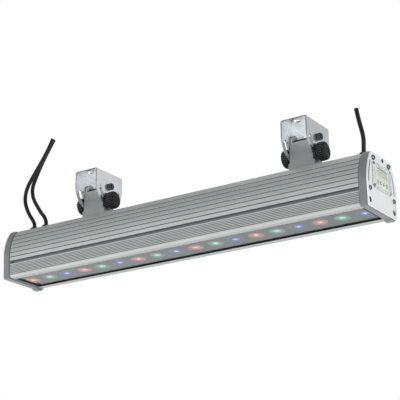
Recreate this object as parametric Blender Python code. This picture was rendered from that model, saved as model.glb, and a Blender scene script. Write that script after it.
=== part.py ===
"""LED wall washer: a finned aluminium bar with eighteen LEDs behind glass, held by two tilting yokes.

The world's origin is midway between the top faces of the two yokes, where the bar hangs. +X runs along
the bar, -Y is the front with the broad groove, and +Z is up. Pieces of the bar have the empty "bar" as
parent, whose own zero is the middle of the bar's length in the plane of its underside. Pieces of each
holder have an empty on the tilt axis as parent. Everything is in metres.
"""

from math import acos, cos, pi, radians, sin, sqrt

import bmesh
import bpy
from mathutils import Vector
from mathutils.geometry import delaunay_2d_cdt

MM = 0.001

# Clearances
TOUCH = 0.3 * MM
SCREW_ROOM = 0.3 * MM
CABLE_ROOM = 0.5 * MM

# Bar, overall
BAR_LENGTH = 520 * MM
BAR_HEIGHT = 64 * MM
FOOT_HALF = 33.7 * MM
WAIST_HALF = 35.2 * MM
WAIST_HEIGHT = 28 * MM
TOP_HALF = 23.6 * MM
BAR_MIDDLE_X = -15.7 * MM

# End caps, gaskets and end plates
CAP_THICKNESS = 8.2 * MM
CAP_DROP = 1.2 * MM
GASKET_THICKNESS = 0.9 * MM
GASKET_INSET = 1.2 * MM
GASKET_WALL = 5 * MM
PLATE_THICKNESS = 1.7 * MM
PLATE_INSET = 0.3 * MM
RIM_WIDTH = 1.6 * MM
RIM_HEIGHT = 0.6 * MM
CORNER_RADIUS = 2.0 * MM
SIDE_STEPS = 9
LUG_INNER_Y = 21 * MM
LUG_OUTER_GAP = 2.2 * MM
LUG_DROP = 2.0 * MM
SIDE_SLOT_WIDTH = 2.4 * MM
SIDE_SLOT_LOW = 27 * MM
SIDE_SLOT_TOP_GAP = 11 * MM
SIDE_SLOT_INSET = 3.6 * MM
SIDE_SLOT_DEPTH = 3.0 * MM

# Fins, groove and ribs of the extrusion
FIN_INSET = 0.8 * MM
FIN_DEPTH = 3.6 * MM
FIN_WALL = 3.8 * MM
FIN_COUNT = 6
FIN_TOP_GAP = 8.4 * MM
FIN_LAST_Z = 26.6 * MM
FIN_MOUTH = 0.9 * MM
FIN_FLOOR = 0.7 * MM
GROOVE_Z = 19.7 * MM
GROOVE_MOUTH = 4.2 * MM
GROOVE_FLOOR = 3.8 * MM
GROOVE_DEPTH = 4.0 * MM
RIB_COUNT = 7
RIB_PITCH = 1.9 * MM
RIB_FIRST_Z = 15.6 * MM
RIB_MOUTH = 1.2 * MM
RIB_DEPTH = 1.0 * MM
EDGE_CHAMFER = 0.3 * MM
SHOULDER_CHAMFER = 0.8 * MM
FOOT_CHAMFER = 2.2 * MM

# Slot along the top of the extrusion
SLOT_MOUTH = 6.6 * MM
SLOT_WIDTH = 12.4 * MM
SLOT_LIP = 2.0 * MM
SLOT_DEPTH = 4.2 * MM

# Chambers of the extrusion
LIP_THICKNESS = 0.8 * MM
WINDOW_HALF = 23.0 * MM
CHAMBER_HALF = 25.6 * MM
LEDGE_HALF = 24.4 * MM
LEDGE_THICKNESS = 1.7 * MM
LEDGE_SLOPE = 2 * MM
OPTICS_HALF = 28.0 * MM
SHELF_THICKNESS = 3.5 * MM
CHAMBER_TOP_WALL = 3.5 * MM

# Window, seal, lens carrier and LEDs
SEAL_THICKNESS = 0.3 * MM
SEAL_LEG = 0.5 * MM
SEAL_END_SHARE = 0.45
GLASS_THICKNESS = 2.5 * MM
LED_COUNT = 18
LED_END_GAP = 22 * MM
LENS_RADIUS = 9.5 * MM
LENS_HEIGHT = 10 * MM
LENS_RIM = 1.6 * MM
LENS_BACK_RADIUS = 4.2 * MM
LENS_STAND = 0.1 * MM
CARRIER_THICKNESS = 2.0 * MM
EMITTER_SIZE = 3.4 * MM
EMITTER_HEIGHT = 1.0 * MM
BOARD_THICKNESS = 1.6 * MM
BOARD_HALF = 24 * MM
BOARD_SCREW_GAPS = (-8, -5, -2, 1, 4, 7)

# Cap screws, plate screws and vents, as places on the end face
CAP_SCREW_TOP = (18.5 * MM, BAR_HEIGHT - 6.5 * MM)
CAP_SCREW_FOOT = (28.8 * MM, 6.6 * MM)
PLATE_SCREW = (28.6 * MM, 19.7 * MM)
VENT = (4.5 * MM, BAR_HEIGHT - 3.6 * MM)
CAP_SCREW_RADIUS = 2.0 * MM
CAP_SCREW_LENGTH = 19 * MM
CAP_HEAD_RADIUS = 3.1 * MM
CAP_HEAD_HEIGHT = 1.9 * MM
SUNK_SCREW_RADIUS = 2.0 * MM
SUNK_HEAD_RADIUS = 3.0 * MM
SUNK_HEAD_HEIGHT = 2.4 * MM
SUNK_DEPTH = 3.4 * MM
PLATE_SCREW_RADIUS = 1.5 * MM
VENT_RADIUS = 2.0 * MM

# Control pocket in the right cap
POCKET_WIDTH = 35 * MM
POCKET_HEIGHT = 23 * MM
POCKET_Z = BAR_HEIGHT - 26 * MM
PANEL_THICKNESS = 1.2 * MM
VIEW_WIDTH = 33 * MM
VIEW_HEIGHT = 21 * MM
COVER_WIDTH = 43 * MM
COVER_HEIGHT = 29 * MM
COVER_CORNER = 2 * MM
COVER_THICKNESS = 1.2 * MM
COVER_GASKET = 0.4 * MM
COVER_SCREW_RADIUS = 1.0 * MM
CONTROL_BOARD_DEPTH = 5.4 * MM
DISPLAY_WIDTH = 22 * MM
DISPLAY_HEIGHT = 9 * MM
DISPLAY_RISE = 5.5 * MM
DISPLAY_BORDER = 0.9 * MM
BUTTON_NAMES = ("mode_button", "up_button", "down_button", "enter_button")
BUTTON_PITCH = 7 * MM
BUTTON_DROP = 6 * MM
BUTTON_RADIUS = 1.9 * MM
BUTTON_FLANGE_RADIUS = 2.5 * MM
BUTTON_FLANGE = 0.8 * MM
BUTTON_PROUD = 0.9 * MM
BUTTON_CHAMFER = 0.3 * MM
BUTTON_TRAVEL = 0.8 * MM

# Power supply and driver in the upper chamber, with x measured from the bar's middle
SUPPLY_SPAN = (95 * MM - BAR_LENGTH / 2, -20 * MM)
SUPPLY_HALF = 18 * MM
SUPPLY_HEADROOM = 8.6 * MM
TERMINAL_LENGTH = 12 * MM
TERMINAL_HALF = 12 * MM
TERMINAL_HEIGHT = 11 * MM
DRIVER_SPAN = (10 * MM, BAR_LENGTH / 2 - 70 * MM)
DRIVER_HALF = 20 * MM
DRIVER_CELLS = 6
COIL_RADIUS = 4.5 * MM
COIL_HEIGHT = 13 * MM
COIL_Y = -11 * MM
CONNECTOR_LENGTH = 12 * MM
CONNECTOR_HEIGHT = 10 * MM
CONNECTOR_Y = 4 * MM
CHIP_SIZE = 5 * MM
CHIP_HEIGHT = 3 * MM
CHIP_Y = 12.5 * MM

# Cable glands and cables
GLAND_END_GAP = 20.5 * MM
GLAND_PITCH = 19.5 * MM
GLAND_THREAD_RADIUS = 4.9 * MM
GLAND_FLATS = 13 * MM
GLAND_HEX_HEIGHT = 3.2 * MM
GLAND_NUT_RADIUS = 6.0 * MM
GLAND_NUT_HEIGHT = 6.4 * MM
GLAND_DOME = 2.8 * MM
GLAND_SHOULDER_RADIUS = 4.9 * MM
GLAND_MOUTH_RADIUS = 4.0 * MM
GLAND_BORE_DEPTH = 2.6 * MM
CABLE_DIAMETER = 5 * MM
LEAD_DIAMETER = 3.2 * MM
CORD_STEP = 2.0

# Holders: bracket, yoke and knobs, measured from the tilt axis
HOLDER_SPACING = 300 * MM
YOKE_SHEET = 1.5 * MM
YOKE_WIDTH = 34 * MM
YOKE_DEPTH = 52 * MM
YOKE_BEND = 2.2 * MM
PIVOT_DROP = 19 * MM
PIVOT_RISE = 41.3 * MM
ARC_RADIUS = 18.6 * MM
ARC_SLOT_WIDTH = 5.6 * MM
ARC_HALF_ANGLE = 75
YOKE_HOLE_RADIUS = 4.2 * MM
YOKE_HOLE_SPACING = 36 * MM
BRACKET_GAP = 0.4 * MM
BRACKET_WALL = 2.6 * MM
BRACKET_FRONT = 10.5 * MM
BRACKET_BACK = 12 * MM
BRACKET_BOSS = 8 * MM
BRACKET_BEND_Z = -17 * MM
WEB_TOP_Z = -3 * MM
FOOT_WIDTH = 33.8 * MM
FOOT_HEIGHT = 13.4 * MM
THREAD_BOSS_RADIUS = 5.2 * MM
THREAD_BOSS_HEIGHT = 4 * MM
BOLT_RADIUS = 2.5 * MM
HEX_FLATS = 8 * MM
HEX_HEIGHT = 3.5 * MM
PIVOT_NUT_HEIGHT = 4.2 * MM
BOLT_TAIL = 1.2 * MM
KNOB_RADIUS = 11 * MM
KNOB_THICKNESS = 10.6 * MM
KNOB_COLLAR_RADIUS = 8 * MM
KNOB_COLLAR = 1.4 * MM
KNOB_CROWN = 2.2 * MM
KNOB_FLUTES = 14
KNOB_FLUTE_DEPTH = 0.7 * MM
STUD_TAIL = 1.0 * MM
BASE_SCREW_SPACING = 12 * MM
BASE_HEAD_RADIUS = 4.25 * MM
BASE_HEAD_HEIGHT = 5 * MM
SLOT_NUT_LENGTH = 24 * MM
SLOT_NUT_HEIGHT = 3.4 * MM

# Places that follow from the sizes above
GASKET_END = BAR_LENGTH / 2 - PLATE_THICKNESS - TOUCH - CAP_THICKNESS - TOUCH
CAP_OUTER = BAR_LENGTH / 2 - PLATE_THICKNESS - TOUCH
CAP_INNER = CAP_OUTER - CAP_THICKNESS
EXTRUSION_HALF = GASKET_END - GASKET_THICKNESS - TOUCH
PLATE_FACE = BAR_LENGTH / 2 - RIM_HEIGHT
EXTRUSION_TOP = BAR_HEIGHT - FIN_INSET
FIN_FIRST_Z = BAR_HEIGHT - FIN_TOP_GAP
FIN_PITCH = (FIN_FIRST_Z - FIN_LAST_Z) / (FIN_COUNT - 1)
LED_PITCH = (BAR_LENGTH - 2 * LED_END_GAP) / (LED_COUNT - 1)
SIDE_SLOT_HIGH = BAR_HEIGHT - SIDE_SLOT_TOP_GAP
SLOT_CEILING = EXTRUSION_TOP - SLOT_LIP
SLOT_BOTTOM = SLOT_CEILING - SLOT_DEPTH
CHAMBER_TOP = SLOT_BOTTOM - CHAMBER_TOP_WALL
SEAL_LOW = LIP_THICKNESS + TOUCH
GLASS_LOW = SEAL_LOW + SEAL_THICKNESS + TOUCH
LENS_LOW = GLASS_LOW + GLASS_THICKNESS + TOUCH
CARRIER_LOW = LENS_LOW + LENS_STAND
LEDGE_LOW = CARRIER_LOW + CARRIER_THICKNESS + TOUCH
EMITTER_LOW = LENS_LOW + LENS_HEIGHT + TOUCH
BOARD_LOW = EMITTER_LOW + EMITTER_HEIGHT + TOUCH
SHELF_LOW = BOARD_LOW + BOARD_THICKNESS + TOUCH
SHELF_TOP = SHELF_LOW + SHELF_THICKNESS
CHAMBER_FLOOR = SHELF_TOP + TOUCH
SUPPLY_HEIGHT = CHAMBER_TOP - SUPPLY_HEADROOM - CHAMBER_FLOOR
PANEL_INNER = CAP_OUTER - PANEL_THICKNESS
CONTROL_BOARD_OUTER = CAP_OUTER - CONTROL_BOARD_DEPTH
GLAND_LOW = EXTRUSION_TOP + TOUCH
GLAND_NUT_LOW = GLAND_LOW + GLAND_HEX_HEIGHT + TOUCH
GLAND_NUT_TOP = GLAND_NUT_LOW + GLAND_NUT_HEIGHT
CABLE_SEAT = GLAND_NUT_TOP - GLAND_BORE_DEPTH
CABLE_START = CABLE_SEAT + TOUCH
MAINS_X = -BAR_LENGTH / 2 + GLAND_END_GAP
DATA_IN_X = MAINS_X + GLAND_PITCH
DATA_OUT_X = BAR_LENGTH / 2 - GLAND_END_GAP
PIVOT_Z = -PIVOT_DROP
HANG_HEIGHT = GLAND_LOW + PIVOT_RISE + PIVOT_DROP
YOKE_INNER = YOKE_WIDTH / 2 - YOKE_SHEET
BRACKET_OUTER = YOKE_INNER - BRACKET_GAP
BRACKET_INNER = BRACKET_OUTER - BRACKET_WALL
BRACKET_BASE = -PIVOT_RISE
BRACKET_FLOOR = BRACKET_BASE + BRACKET_WALL
BOLT_HOLE = BOLT_RADIUS + SCREW_ROOM
PAST = 20 * MM

# Cable routes in world millimetres, from the gland's seat to the cut end
MAINS_ROUTE = (
    (-255.4, 0, -46), (-258.8, 0, -39.5), (-265, 0, -30.5), (-270, 0, -21), (-273, 0, -11), (-273, 0, -2),
    (-270, 0, 8), (-264, 0, 17.5), (-257, 0, 27), (-250, 0, 36), (-243, 0, 45.5), (-236, 0, 56),
    (-229.5, 0, 68),
)
DATA_IN_ROUTE = (
    (-235.9, 0, -46), (-238.6, 0, -39.5), (-246, 1, -31), (-254, 3, -21), (-262, 5, -10), (-267, 7, 0.5),
    (-268, 8, 10), (-265.5, 9, 19.5), (-261, 9, 29), (-255.5, 9, 39), (-249, 8.5, 49), (-241.5, 8, 59.5),
    (-234, 8, 70.5),
)
DATA_OUT_ROUTE = (
    (224, 0, -45), (224.3, 0, -37), (223.6, 0, -29), (221.6, 0, -19.5), (219, 0, -8), (216.8, 0, 4),
)

FINISHES = {
    "satin_aluminium": ((0.47, 0.48, 0.48), 0.42, 0.85),
    "grey_casting": ((0.36, 0.37, 0.37), 0.5, 0.6),
    "bright_plate": ((0.8, 0.81, 0.82), 0.3, 0.8),
    "zinc_steel": ((0.72, 0.74, 0.76), 0.22, 1.0),
    "screw_steel": ((0.55, 0.56, 0.57), 0.35, 1.0),
    "black_steel": ((0.03, 0.03, 0.035), 0.45, 0.6),
    "black_rubber": ((0.02, 0.02, 0.02), 0.8, 0.0),
    "black_plastic": ((0.02, 0.022, 0.024), 0.5, 0.0),
    "cable_jacket": ((0.018, 0.018, 0.02), 0.55, 0.0),
    "clear_glass": ((0.85, 0.9, 0.88), 0.05, 0.0),
    "clear_plastic": ((0.9, 0.92, 0.9), 0.08, 0.0),
    "grey_carrier": ((0.2, 0.21, 0.21), 0.6, 0.0),
    "red_lens": ((0.85, 0.35, 0.3), 0.15, 0.0),
    "green_lens": ((0.35, 0.75, 0.6), 0.15, 0.0),
    "blue_lens": ((0.35, 0.42, 0.85), 0.15, 0.0),
    "chip_yellow": ((0.8, 0.65, 0.1), 0.5, 0.0),
    "board_white": ((0.7, 0.7, 0.68), 0.5, 0.0),
    "board_green": ((0.03, 0.2, 0.08), 0.4, 0.0),
    "part_dark": ((0.05, 0.05, 0.06), 0.4, 0.0),
    "button_grey": ((0.3, 0.3, 0.31), 0.5, 0.0),
    "nylon": ((0.8, 0.8, 0.76), 0.5, 0.0),
}


def clear_scene():
    """Remove whatever the file holds."""
    for item in list(bpy.data.objects):
        bpy.data.objects.remove(item, do_unlink=True)


def finish(name):
    """Return the material of a finish, made on first use."""
    made = bpy.data.materials.get(name)
    if made:
        return made
    colour, roughness, metallic = FINISHES[name]
    made = bpy.data.materials.new(name)
    made.use_nodes = True
    shader = made.node_tree.nodes["Principled BSDF"]
    shader.inputs["Base Color"].default_value = (*colour, 1.0)
    shader.inputs["Roughness"].default_value = roughness
    shader.inputs["Metallic"].default_value = metallic
    return made


def arc(centre, radius, start, end, steps):
    """Points of an arc about centre, from angle start to end in degrees, both ends included."""
    points = []
    for i in range(steps + 1):
        angle = radians(start + (end - start) * i / steps)
        points.append((centre[0] + radius * cos(angle), centre[1] + radius * sin(angle)))
    return points


def circle(centre, radius, steps=12):
    """Points of a full circle, anticlockwise."""
    return arc(centre, radius, 0, 360, steps)[:-1]


def rectangle(low, high):
    """Corners of a rectangle, anticlockwise."""
    return [(low[0], low[1]), (high[0], low[1]), (high[0], high[1]), (low[0], high[1])]


def rounded(points, radius, steps=3):
    """Round every corner of a closed outline, each no further than the sides beside it allow."""
    result = []
    count = len(points)
    for i, corner in enumerate(points):
        here = Vector(corner)
        back = Vector(points[i - 1]) - here
        ahead = Vector(points[(i + 1) % count]) - here
        turn = acos(max(-1.0, min(1.0, back.normalized().dot(ahead.normalized()))))
        if turn > radians(165):
            result.append(corner)
            continue
        reach = min(radius / max(sin(turn / 2) / cos(turn / 2), 1e-6), 0.45 * min(back.length, ahead.length))
        first = here + back.normalized() * reach
        last = here + ahead.normalized() * reach
        for k in range(steps + 1):
            t = k / steps
            point = first * (1 - t) ** 2 + here * 2 * t * (1 - t) + last * t**2
            result.append((point.x, point.y))
    return result


def point_on(axis, u, v, w):
    """A point with w along the axis and u, v along the other two, in X, Y, Z order."""
    if axis == "X":
        return Vector((w, u, v))
    if axis == "Y":
        return Vector((u, w, v))
    return Vector((u, v, w))


def inside(point, loop):
    """Whether a point of the plane lies inside a closed loop."""
    result = False
    for (u1, v1), (u2, v2) in zip(loop, loop[1:] + loop[:1]):
        if (v1 > point[1]) != (v2 > point[1]):
            if point[0] < u1 + (u2 - u1) * (point[1] - v1) / (v2 - v1):
                result = not result
    return result


def filled(loops):
    """The triangles between an outline and its holes, as indexes into all the loops' points in order."""
    flat = [point for loop in loops for point in loop]
    edges = []
    for loop in loops:
        start = len(edges)
        edges += [(start + i, start + (i + 1) % len(loop)) for i in range(len(loop))]
    in_mm = [Vector((u / MM, v / MM)) for u, v in flat]
    _, _, triangles, sources, _, _ = delaunay_2d_cdt(in_mm, edges, [], 1, 1e-6)
    kept = []
    for triangle in triangles:
        corners = [sources[i][0] for i in triangle]
        middle = [sum(flat[i][axis] for i in corners) / 3 for axis in (0, 1)]
        if not any(inside(middle, hole) for hole in loops[1:]):
            kept.append(tuple(corners))
    return kept


def prism(axis, low, high, outline, holes=()):
    """A flat outline with holes, drawn out along an axis from low to high, as vertices and faces."""
    loops = [list(outline)] + [list(hole) for hole in holes]
    flat = [point for loop in loops for point in loop]
    count = len(flat)
    caps = filled(loops)
    verts = [point_on(axis, u, v, low) for u, v in flat] + [point_on(axis, u, v, high) for u, v in flat]
    faces = caps + [tuple(i + count for i in reversed(cap)) for cap in caps]
    start = 0
    for loop in loops:
        size = len(loop)
        for i in range(size):
            a = start + i
            b = start + (i + 1) % size
            faces.append((a, b, b + count, a + count))
        start += size
    return verts, faces


def block(low, high):
    """A box between two corners."""
    return prism("Z", low[2], high[2], rectangle(low[:2], high[:2]))


def turned(axis, centre, profile, steps=16, flutes=0):
    """A turned shape about an axis through centre.

    Each profile entry is radius, height along the axis and, where the edge is fluted, the flutes' depth.
    """
    verts = []
    rings = []
    for entry in profile:
        radius, height = entry[0], entry[1]
        depth = entry[2] if len(entry) > 2 else 0.0
        if radius == 0:
            rings.append([len(verts)])
            verts.append(point_on(axis, centre[0], centre[1], height))
            continue
        ring = []
        for i in range(steps):
            angle = 2 * pi * i / steps
            reach = radius - depth * (0.5 - 0.5 * cos(flutes * angle))
            ring.append(len(verts))
            place = (centre[0] + reach * cos(angle), centre[1] + reach * sin(angle))
            verts.append(point_on(axis, place[0], place[1], height))
        rings.append(ring)
    faces = []
    for ring, following in zip(rings, rings[1:]):
        for i in range(steps):
            j = (i + 1) % steps
            if len(ring) == 1:
                faces.append((ring[0], following[i], following[j]))
            elif len(following) == 1:
                faces.append((ring[i], following[0], ring[j]))
            else:
                faces.append((ring[i], ring[j], following[j], following[i]))
    return verts, faces


def rod(axis, centre, radius, low, high, steps=12):
    """A plain round rod."""
    return turned(axis, centre, [(0, low), (radius, low), (radius, high), (0, high)], steps)


def hexagon(axis, centre, flats, low, high, bore=0.0):
    """A hexagonal prism across its flats, with a round bore if one is given."""
    holes = [circle(centre, bore)] if bore else []
    return prism(axis, low, high, circle(centre, flats / sqrt(3), 6), holes)


def pan_screw(axis, centre, seat, way, head_radius, head_height, radius, length):
    """A screw whose low domed head stands on seat, with its shank going the other way along the axis."""
    edge = seat + way * head_height * 0.55
    crown = seat + way * head_height
    tip = seat - way * length
    profile = [
        (0, crown), (head_radius * 0.62, crown), (head_radius, edge), (head_radius, seat),
        (radius, seat), (radius, tip), (0, tip),
    ]
    return turned(axis, centre, profile, 12)


def shape_object(name, shells, shade_smooth):
    """A mesh object of one or more closed shells, with every face pointing out."""
    mesh = bpy.data.meshes.new(name)
    verts = []
    faces = []
    for shell_verts, shell_faces in shells:
        base = len(verts)
        verts += shell_verts
        faces += [tuple(i + base for i in face) for face in shell_faces]
    mesh.from_pydata(verts, [], faces)
    work = bmesh.new()
    work.from_mesh(mesh)
    bmesh.ops.recalc_face_normals(work, faces=work.faces)
    work.to_mesh(mesh)
    work.free()
    if shade_smooth:
        mesh.shade_smooth()
        mesh.set_sharp_from_angle(angle=radians(35))
    item = bpy.data.objects.new(name, mesh)
    bpy.context.scene.collection.objects.link(item)
    return item


def solid(name, shells, finish_name, parent, location=(0, 0, 0), shade_smooth=False):
    """A sub-part: its shells as one object, with its finish, under its parent."""
    item = shape_object(name, shells, shade_smooth)
    item.data.materials.append(finish(finish_name))
    item.parent = parent
    item.location = location
    return item


def combine(item, operation, name, shells):
    """Cut, join or intersect an object with a hidden cutter that shares its parent."""
    cutter = shape_object(f"{item.name}_{name}", shells, False)
    cutter.parent = item.parent
    cutter.location = item.location
    cutter.hide_render = True
    cutter.display_type = "WIRE"
    step = item.modifiers.new(name, "BOOLEAN")
    step.operation = operation
    step.object = cutter


def anchor(name, location):
    """An empty that carries the pieces of one sub-assembly."""
    item = bpy.data.objects.new(name, None)
    bpy.context.scene.collection.objects.link(item)
    item.location = location
    return item


def side_half(z):
    """Half the width of the caps' outline at a height: a straight foot, then an arc in to the top."""
    if z <= WAIST_HEIGHT:
        return FOOT_HALF + (WAIST_HALF - FOOT_HALF) * max(z, 0.0) / WAIST_HEIGHT
    inward = WAIST_HALF - TOP_HALF
    rise = BAR_HEIGHT - WAIST_HEIGHT
    radius = (inward**2 + rise**2) / (2 * inward)
    return WAIST_HALF - radius + sqrt(radius**2 - (z - WAIST_HEIGHT) ** 2)


def mirrored(points):
    """An outline made of points on one side of the middle, followed by their mirror images in reverse."""
    return list(points) + [(-y, z) for y, z in reversed(points)]


def end_outline(inset, lug=False):
    """The end face's outline, drawn in by inset, with the small lug under its back corner if asked."""
    low = -CAP_DROP + inset
    top = BAR_HEIGHT - inset
    side = [(FOOT_HALF - inset, low), (WAIST_HALF - inset, WAIST_HEIGHT)]
    for i in range(1, SIDE_STEPS + 1):
        z = WAIST_HEIGHT + (top - WAIST_HEIGHT) * i / SIDE_STEPS
        side.append((side_half(z) - inset, z))
    foot = []
    if lug:
        foot = [
            (LUG_INNER_Y, low), (LUG_INNER_Y + LUG_DROP, low - LUG_DROP),
            (FOOT_HALF - LUG_OUTER_GAP - LUG_DROP / 2, low - LUG_DROP), (FOOT_HALF - LUG_OUTER_GAP, low),
        ]
    return rounded(foot + mirrored(side), CORNER_RADIUS, 2)


def valley(z, mouth, floor, depth):
    """The points of one groove in the side, from its upper lip to its lower lip."""
    reach = side_half(z) - FIN_INSET - depth
    top = z + mouth / 2
    low = z - mouth / 2
    return [
        (side_half(top + EDGE_CHAMFER) - FIN_INSET, top + EDGE_CHAMFER),
        (side_half(top) - FIN_INSET - EDGE_CHAMFER, top),
        (reach, z + floor / 2),
        (reach, z - floor / 2),
        (side_half(low) - FIN_INSET - EDGE_CHAMFER, low),
        (side_half(low - EDGE_CHAMFER) - FIN_INSET, low - EDGE_CHAMFER),
    ]


def rib_groove(z):
    """The points of one fine groove of the lower side."""
    return [
        (side_half(z + RIB_MOUTH / 2) - FIN_INSET, z + RIB_MOUTH / 2),
        (side_half(z) - FIN_INSET - RIB_DEPTH, z),
        (side_half(z - RIB_MOUTH / 2) - FIN_INSET, z - RIB_MOUTH / 2),
    ]


def extrusion_outline():
    """The extrusion's outline: top slot, fins, broad groove, ribs, foot and the optics' open chamber."""
    shoulder = side_half(EXTRUSION_TOP) - FIN_INSET
    points = [
        (SLOT_WIDTH / 2, SLOT_BOTTOM), (SLOT_WIDTH / 2, SLOT_CEILING), (SLOT_MOUTH / 2, SLOT_CEILING),
        (SLOT_MOUTH / 2, EXTRUSION_TOP), (shoulder - SHOULDER_CHAMFER, EXTRUSION_TOP),
        (shoulder, EXTRUSION_TOP - SHOULDER_CHAMFER),
    ]
    for i in range(FIN_COUNT):
        points += valley(FIN_FIRST_Z - i * FIN_PITCH, FIN_MOUTH, FIN_FLOOR, FIN_DEPTH)
    points += valley(GROOVE_Z, GROOVE_MOUTH, GROOVE_FLOOR, GROOVE_DEPTH)
    for i in range(RIB_COUNT):
        points += rib_groove(RIB_FIRST_Z - i * RIB_PITCH)
    foot = side_half(FOOT_CHAMFER) - FIN_INSET
    points += [
        (foot, FOOT_CHAMFER), (foot - FOOT_CHAMFER, 0), (WINDOW_HALF, 0), (WINDOW_HALF, LIP_THICKNESS),
        (CHAMBER_HALF, LIP_THICKNESS), (CHAMBER_HALF, LEDGE_LOW), (LEDGE_HALF, LEDGE_LOW),
        (LEDGE_HALF, LEDGE_LOW + LEDGE_THICKNESS),
        (OPTICS_HALF, LEDGE_LOW + LEDGE_THICKNESS + LEDGE_SLOPE), (OPTICS_HALF, SHELF_LOW),
    ]
    return mirrored(points)


def upper_chamber():
    """The outline of the closed chamber that holds the electronics."""
    steps = 6
    side = []
    for i in range(steps + 1):
        z = SHELF_TOP + (CHAMBER_TOP - SHELF_TOP) * i / steps
        side.append((side_half(z) - FIN_INSET - FIN_DEPTH - FIN_WALL, z))
    return mirrored(side)


def screw_places(place):
    """The two mirrored places of a screw on the end face."""
    return [(place[0], place[1]), (-place[0], place[1])]


def led_places():
    """Where each LED sits along the bar."""
    return [(i - (LED_COUNT - 1) / 2) * LED_PITCH for i in range(LED_COUNT)]


def build_extrusion(bar):
    """The finned bar itself, with its gland holes and the board's screw holes."""
    ports = [circle(place, CAP_SCREW_RADIUS + SCREW_ROOM, 10) for place in screw_places(CAP_SCREW_TOP)]
    ports += [circle(place, SUNK_SCREW_RADIUS + SCREW_ROOM, 10) for place in screw_places(CAP_SCREW_FOOT)]
    shell = prism("X", -EXTRUSION_HALF, EXTRUSION_HALF, extrusion_outline(), [upper_chamber(), *ports])
    body = solid("housing_extrusion", [shell], "satin_aluminium", bar)
    bores = [
        rod("Z", (x, 0), GLAND_THREAD_RADIUS + SCREW_ROOM, CHAMBER_TOP - 2 * MM, EXTRUSION_TOP + 2 * MM)
        for x in (MAINS_X, DATA_IN_X, DATA_OUT_X)
    ]
    bores += [
        rod("Z", (x, 0), PLATE_SCREW_RADIUS + SCREW_ROOM, SHELF_LOW - MM, SHELF_TOP + MM, 10)
        for x in board_screw_places()
    ]
    combine(body, "DIFFERENCE", "bores", bores)


def board_screw_places():
    """Where the board's screws sit: midway between two LEDs."""
    return [(gap + 0.5) * LED_PITCH - LED_PITCH / 2 for gap in BOARD_SCREW_GAPS]


def build_window(bar):
    """The glass and the black seal that it lies on."""
    half_length = EXTRUSION_HALF - TOUCH
    glass_half = CHAMBER_HALF - TOUCH - 0.1 * MM
    outline = rounded(rectangle((-half_length, -glass_half), (half_length, glass_half)), MM, 2)
    solid("window_glass", [prism("Z", GLASS_LOW, GLASS_LOW + GLASS_THICKNESS, outline)], "clear_glass", bar)

    leg_outer = WINDOW_HALF - TOUCH
    profile = [
        (glass_half, SEAL_LOW), (glass_half, SEAL_LOW + SEAL_THICKNESS),
        (leg_outer - SEAL_LEG, SEAL_LOW + SEAL_THICKNESS), (leg_outer - SEAL_LEG, TOUCH),
        (leg_outer, TOUCH), (leg_outer, SEAL_LOW),
    ]
    solid("window_seal", [frame_sweep(profile, half_length)], "black_rubber", bar)


def frame_sweep(profile, half_length):
    """A profile of half widths and heights, widest first, swept round a rectangle, narrower at its ends."""
    widest = profile[0][0]
    verts = []
    for half, z in profile:
        x = half_length - (widest - half) * SEAL_END_SHARE
        for sx, sy in ((-1, -1), (1, -1), (1, 1), (-1, 1)):
            verts.append(Vector((sx * x, sy * half, z)))
    faces = []
    count = len(profile)
    for i in range(count):
        following = (i + 1) % count
        for k in range(4):
            turn = (k + 1) % 4
            faces.append((4 * i + k, 4 * i + turn, 4 * following + turn, 4 * following + k))
    return verts, faces


def build_optics(bar):
    """The board with its LEDs, and the lenses, which are moulded with the plate that carries them."""
    half_length = EXTRUSION_HALF - 2 * TOUCH
    carrier = block((-half_length, -CHAMBER_HALF + TOUCH, CARRIER_LOW),
                    (half_length, CHAMBER_HALF - TOUCH, CARRIER_LOW + CARRIER_THICKNESS))
    array = solid("lens_array", [carrier], "clear_plastic", bar)
    profile = [
        (0, LENS_LOW), (LENS_RADIUS, LENS_LOW), (LENS_RADIUS, LENS_LOW + LENS_RIM),
        (LENS_BACK_RADIUS, LENS_LOW + LENS_HEIGHT), (0, LENS_LOW + LENS_HEIGHT),
    ]
    combine(array, "UNION", "lenses", [turned("Z", (x, 0), profile, 12) for x in led_places()])

    holes = [circle((x, 0), PLATE_SCREW_RADIUS + SCREW_ROOM, 10) for x in board_screw_places()]
    outline = rectangle((-half_length, -BOARD_HALF), (half_length, BOARD_HALF))
    board = prism("Z", BOARD_LOW, BOARD_LOW + BOARD_THICKNESS, outline, holes)
    populated = solid("led_board", [board], "board_white", bar)
    half = EMITTER_SIZE / 2
    chips = [
        block((x - half, -half, EMITTER_LOW), (x + half, half, BOARD_LOW + BOARD_THICKNESS / 2))
        for x in led_places()
    ]
    combine(populated, "UNION", "emitters", chips)


def pocket(width, height):
    """A rectangle about the middle of the control pocket, as seen on the end face."""
    return rectangle((-width / 2, POCKET_Z - height / 2), (width / 2, POCKET_Z + height / 2))


def cover_screw_places():
    """The four places of the clear cover's screws."""
    y = (COVER_WIDTH + VIEW_WIDTH) / 4
    z = (COVER_HEIGHT + VIEW_HEIGHT) / 4
    return [(sy * y, POCKET_Z + sz * z) for sy in (-1, 1) for sz in (-1, 1)]


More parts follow.
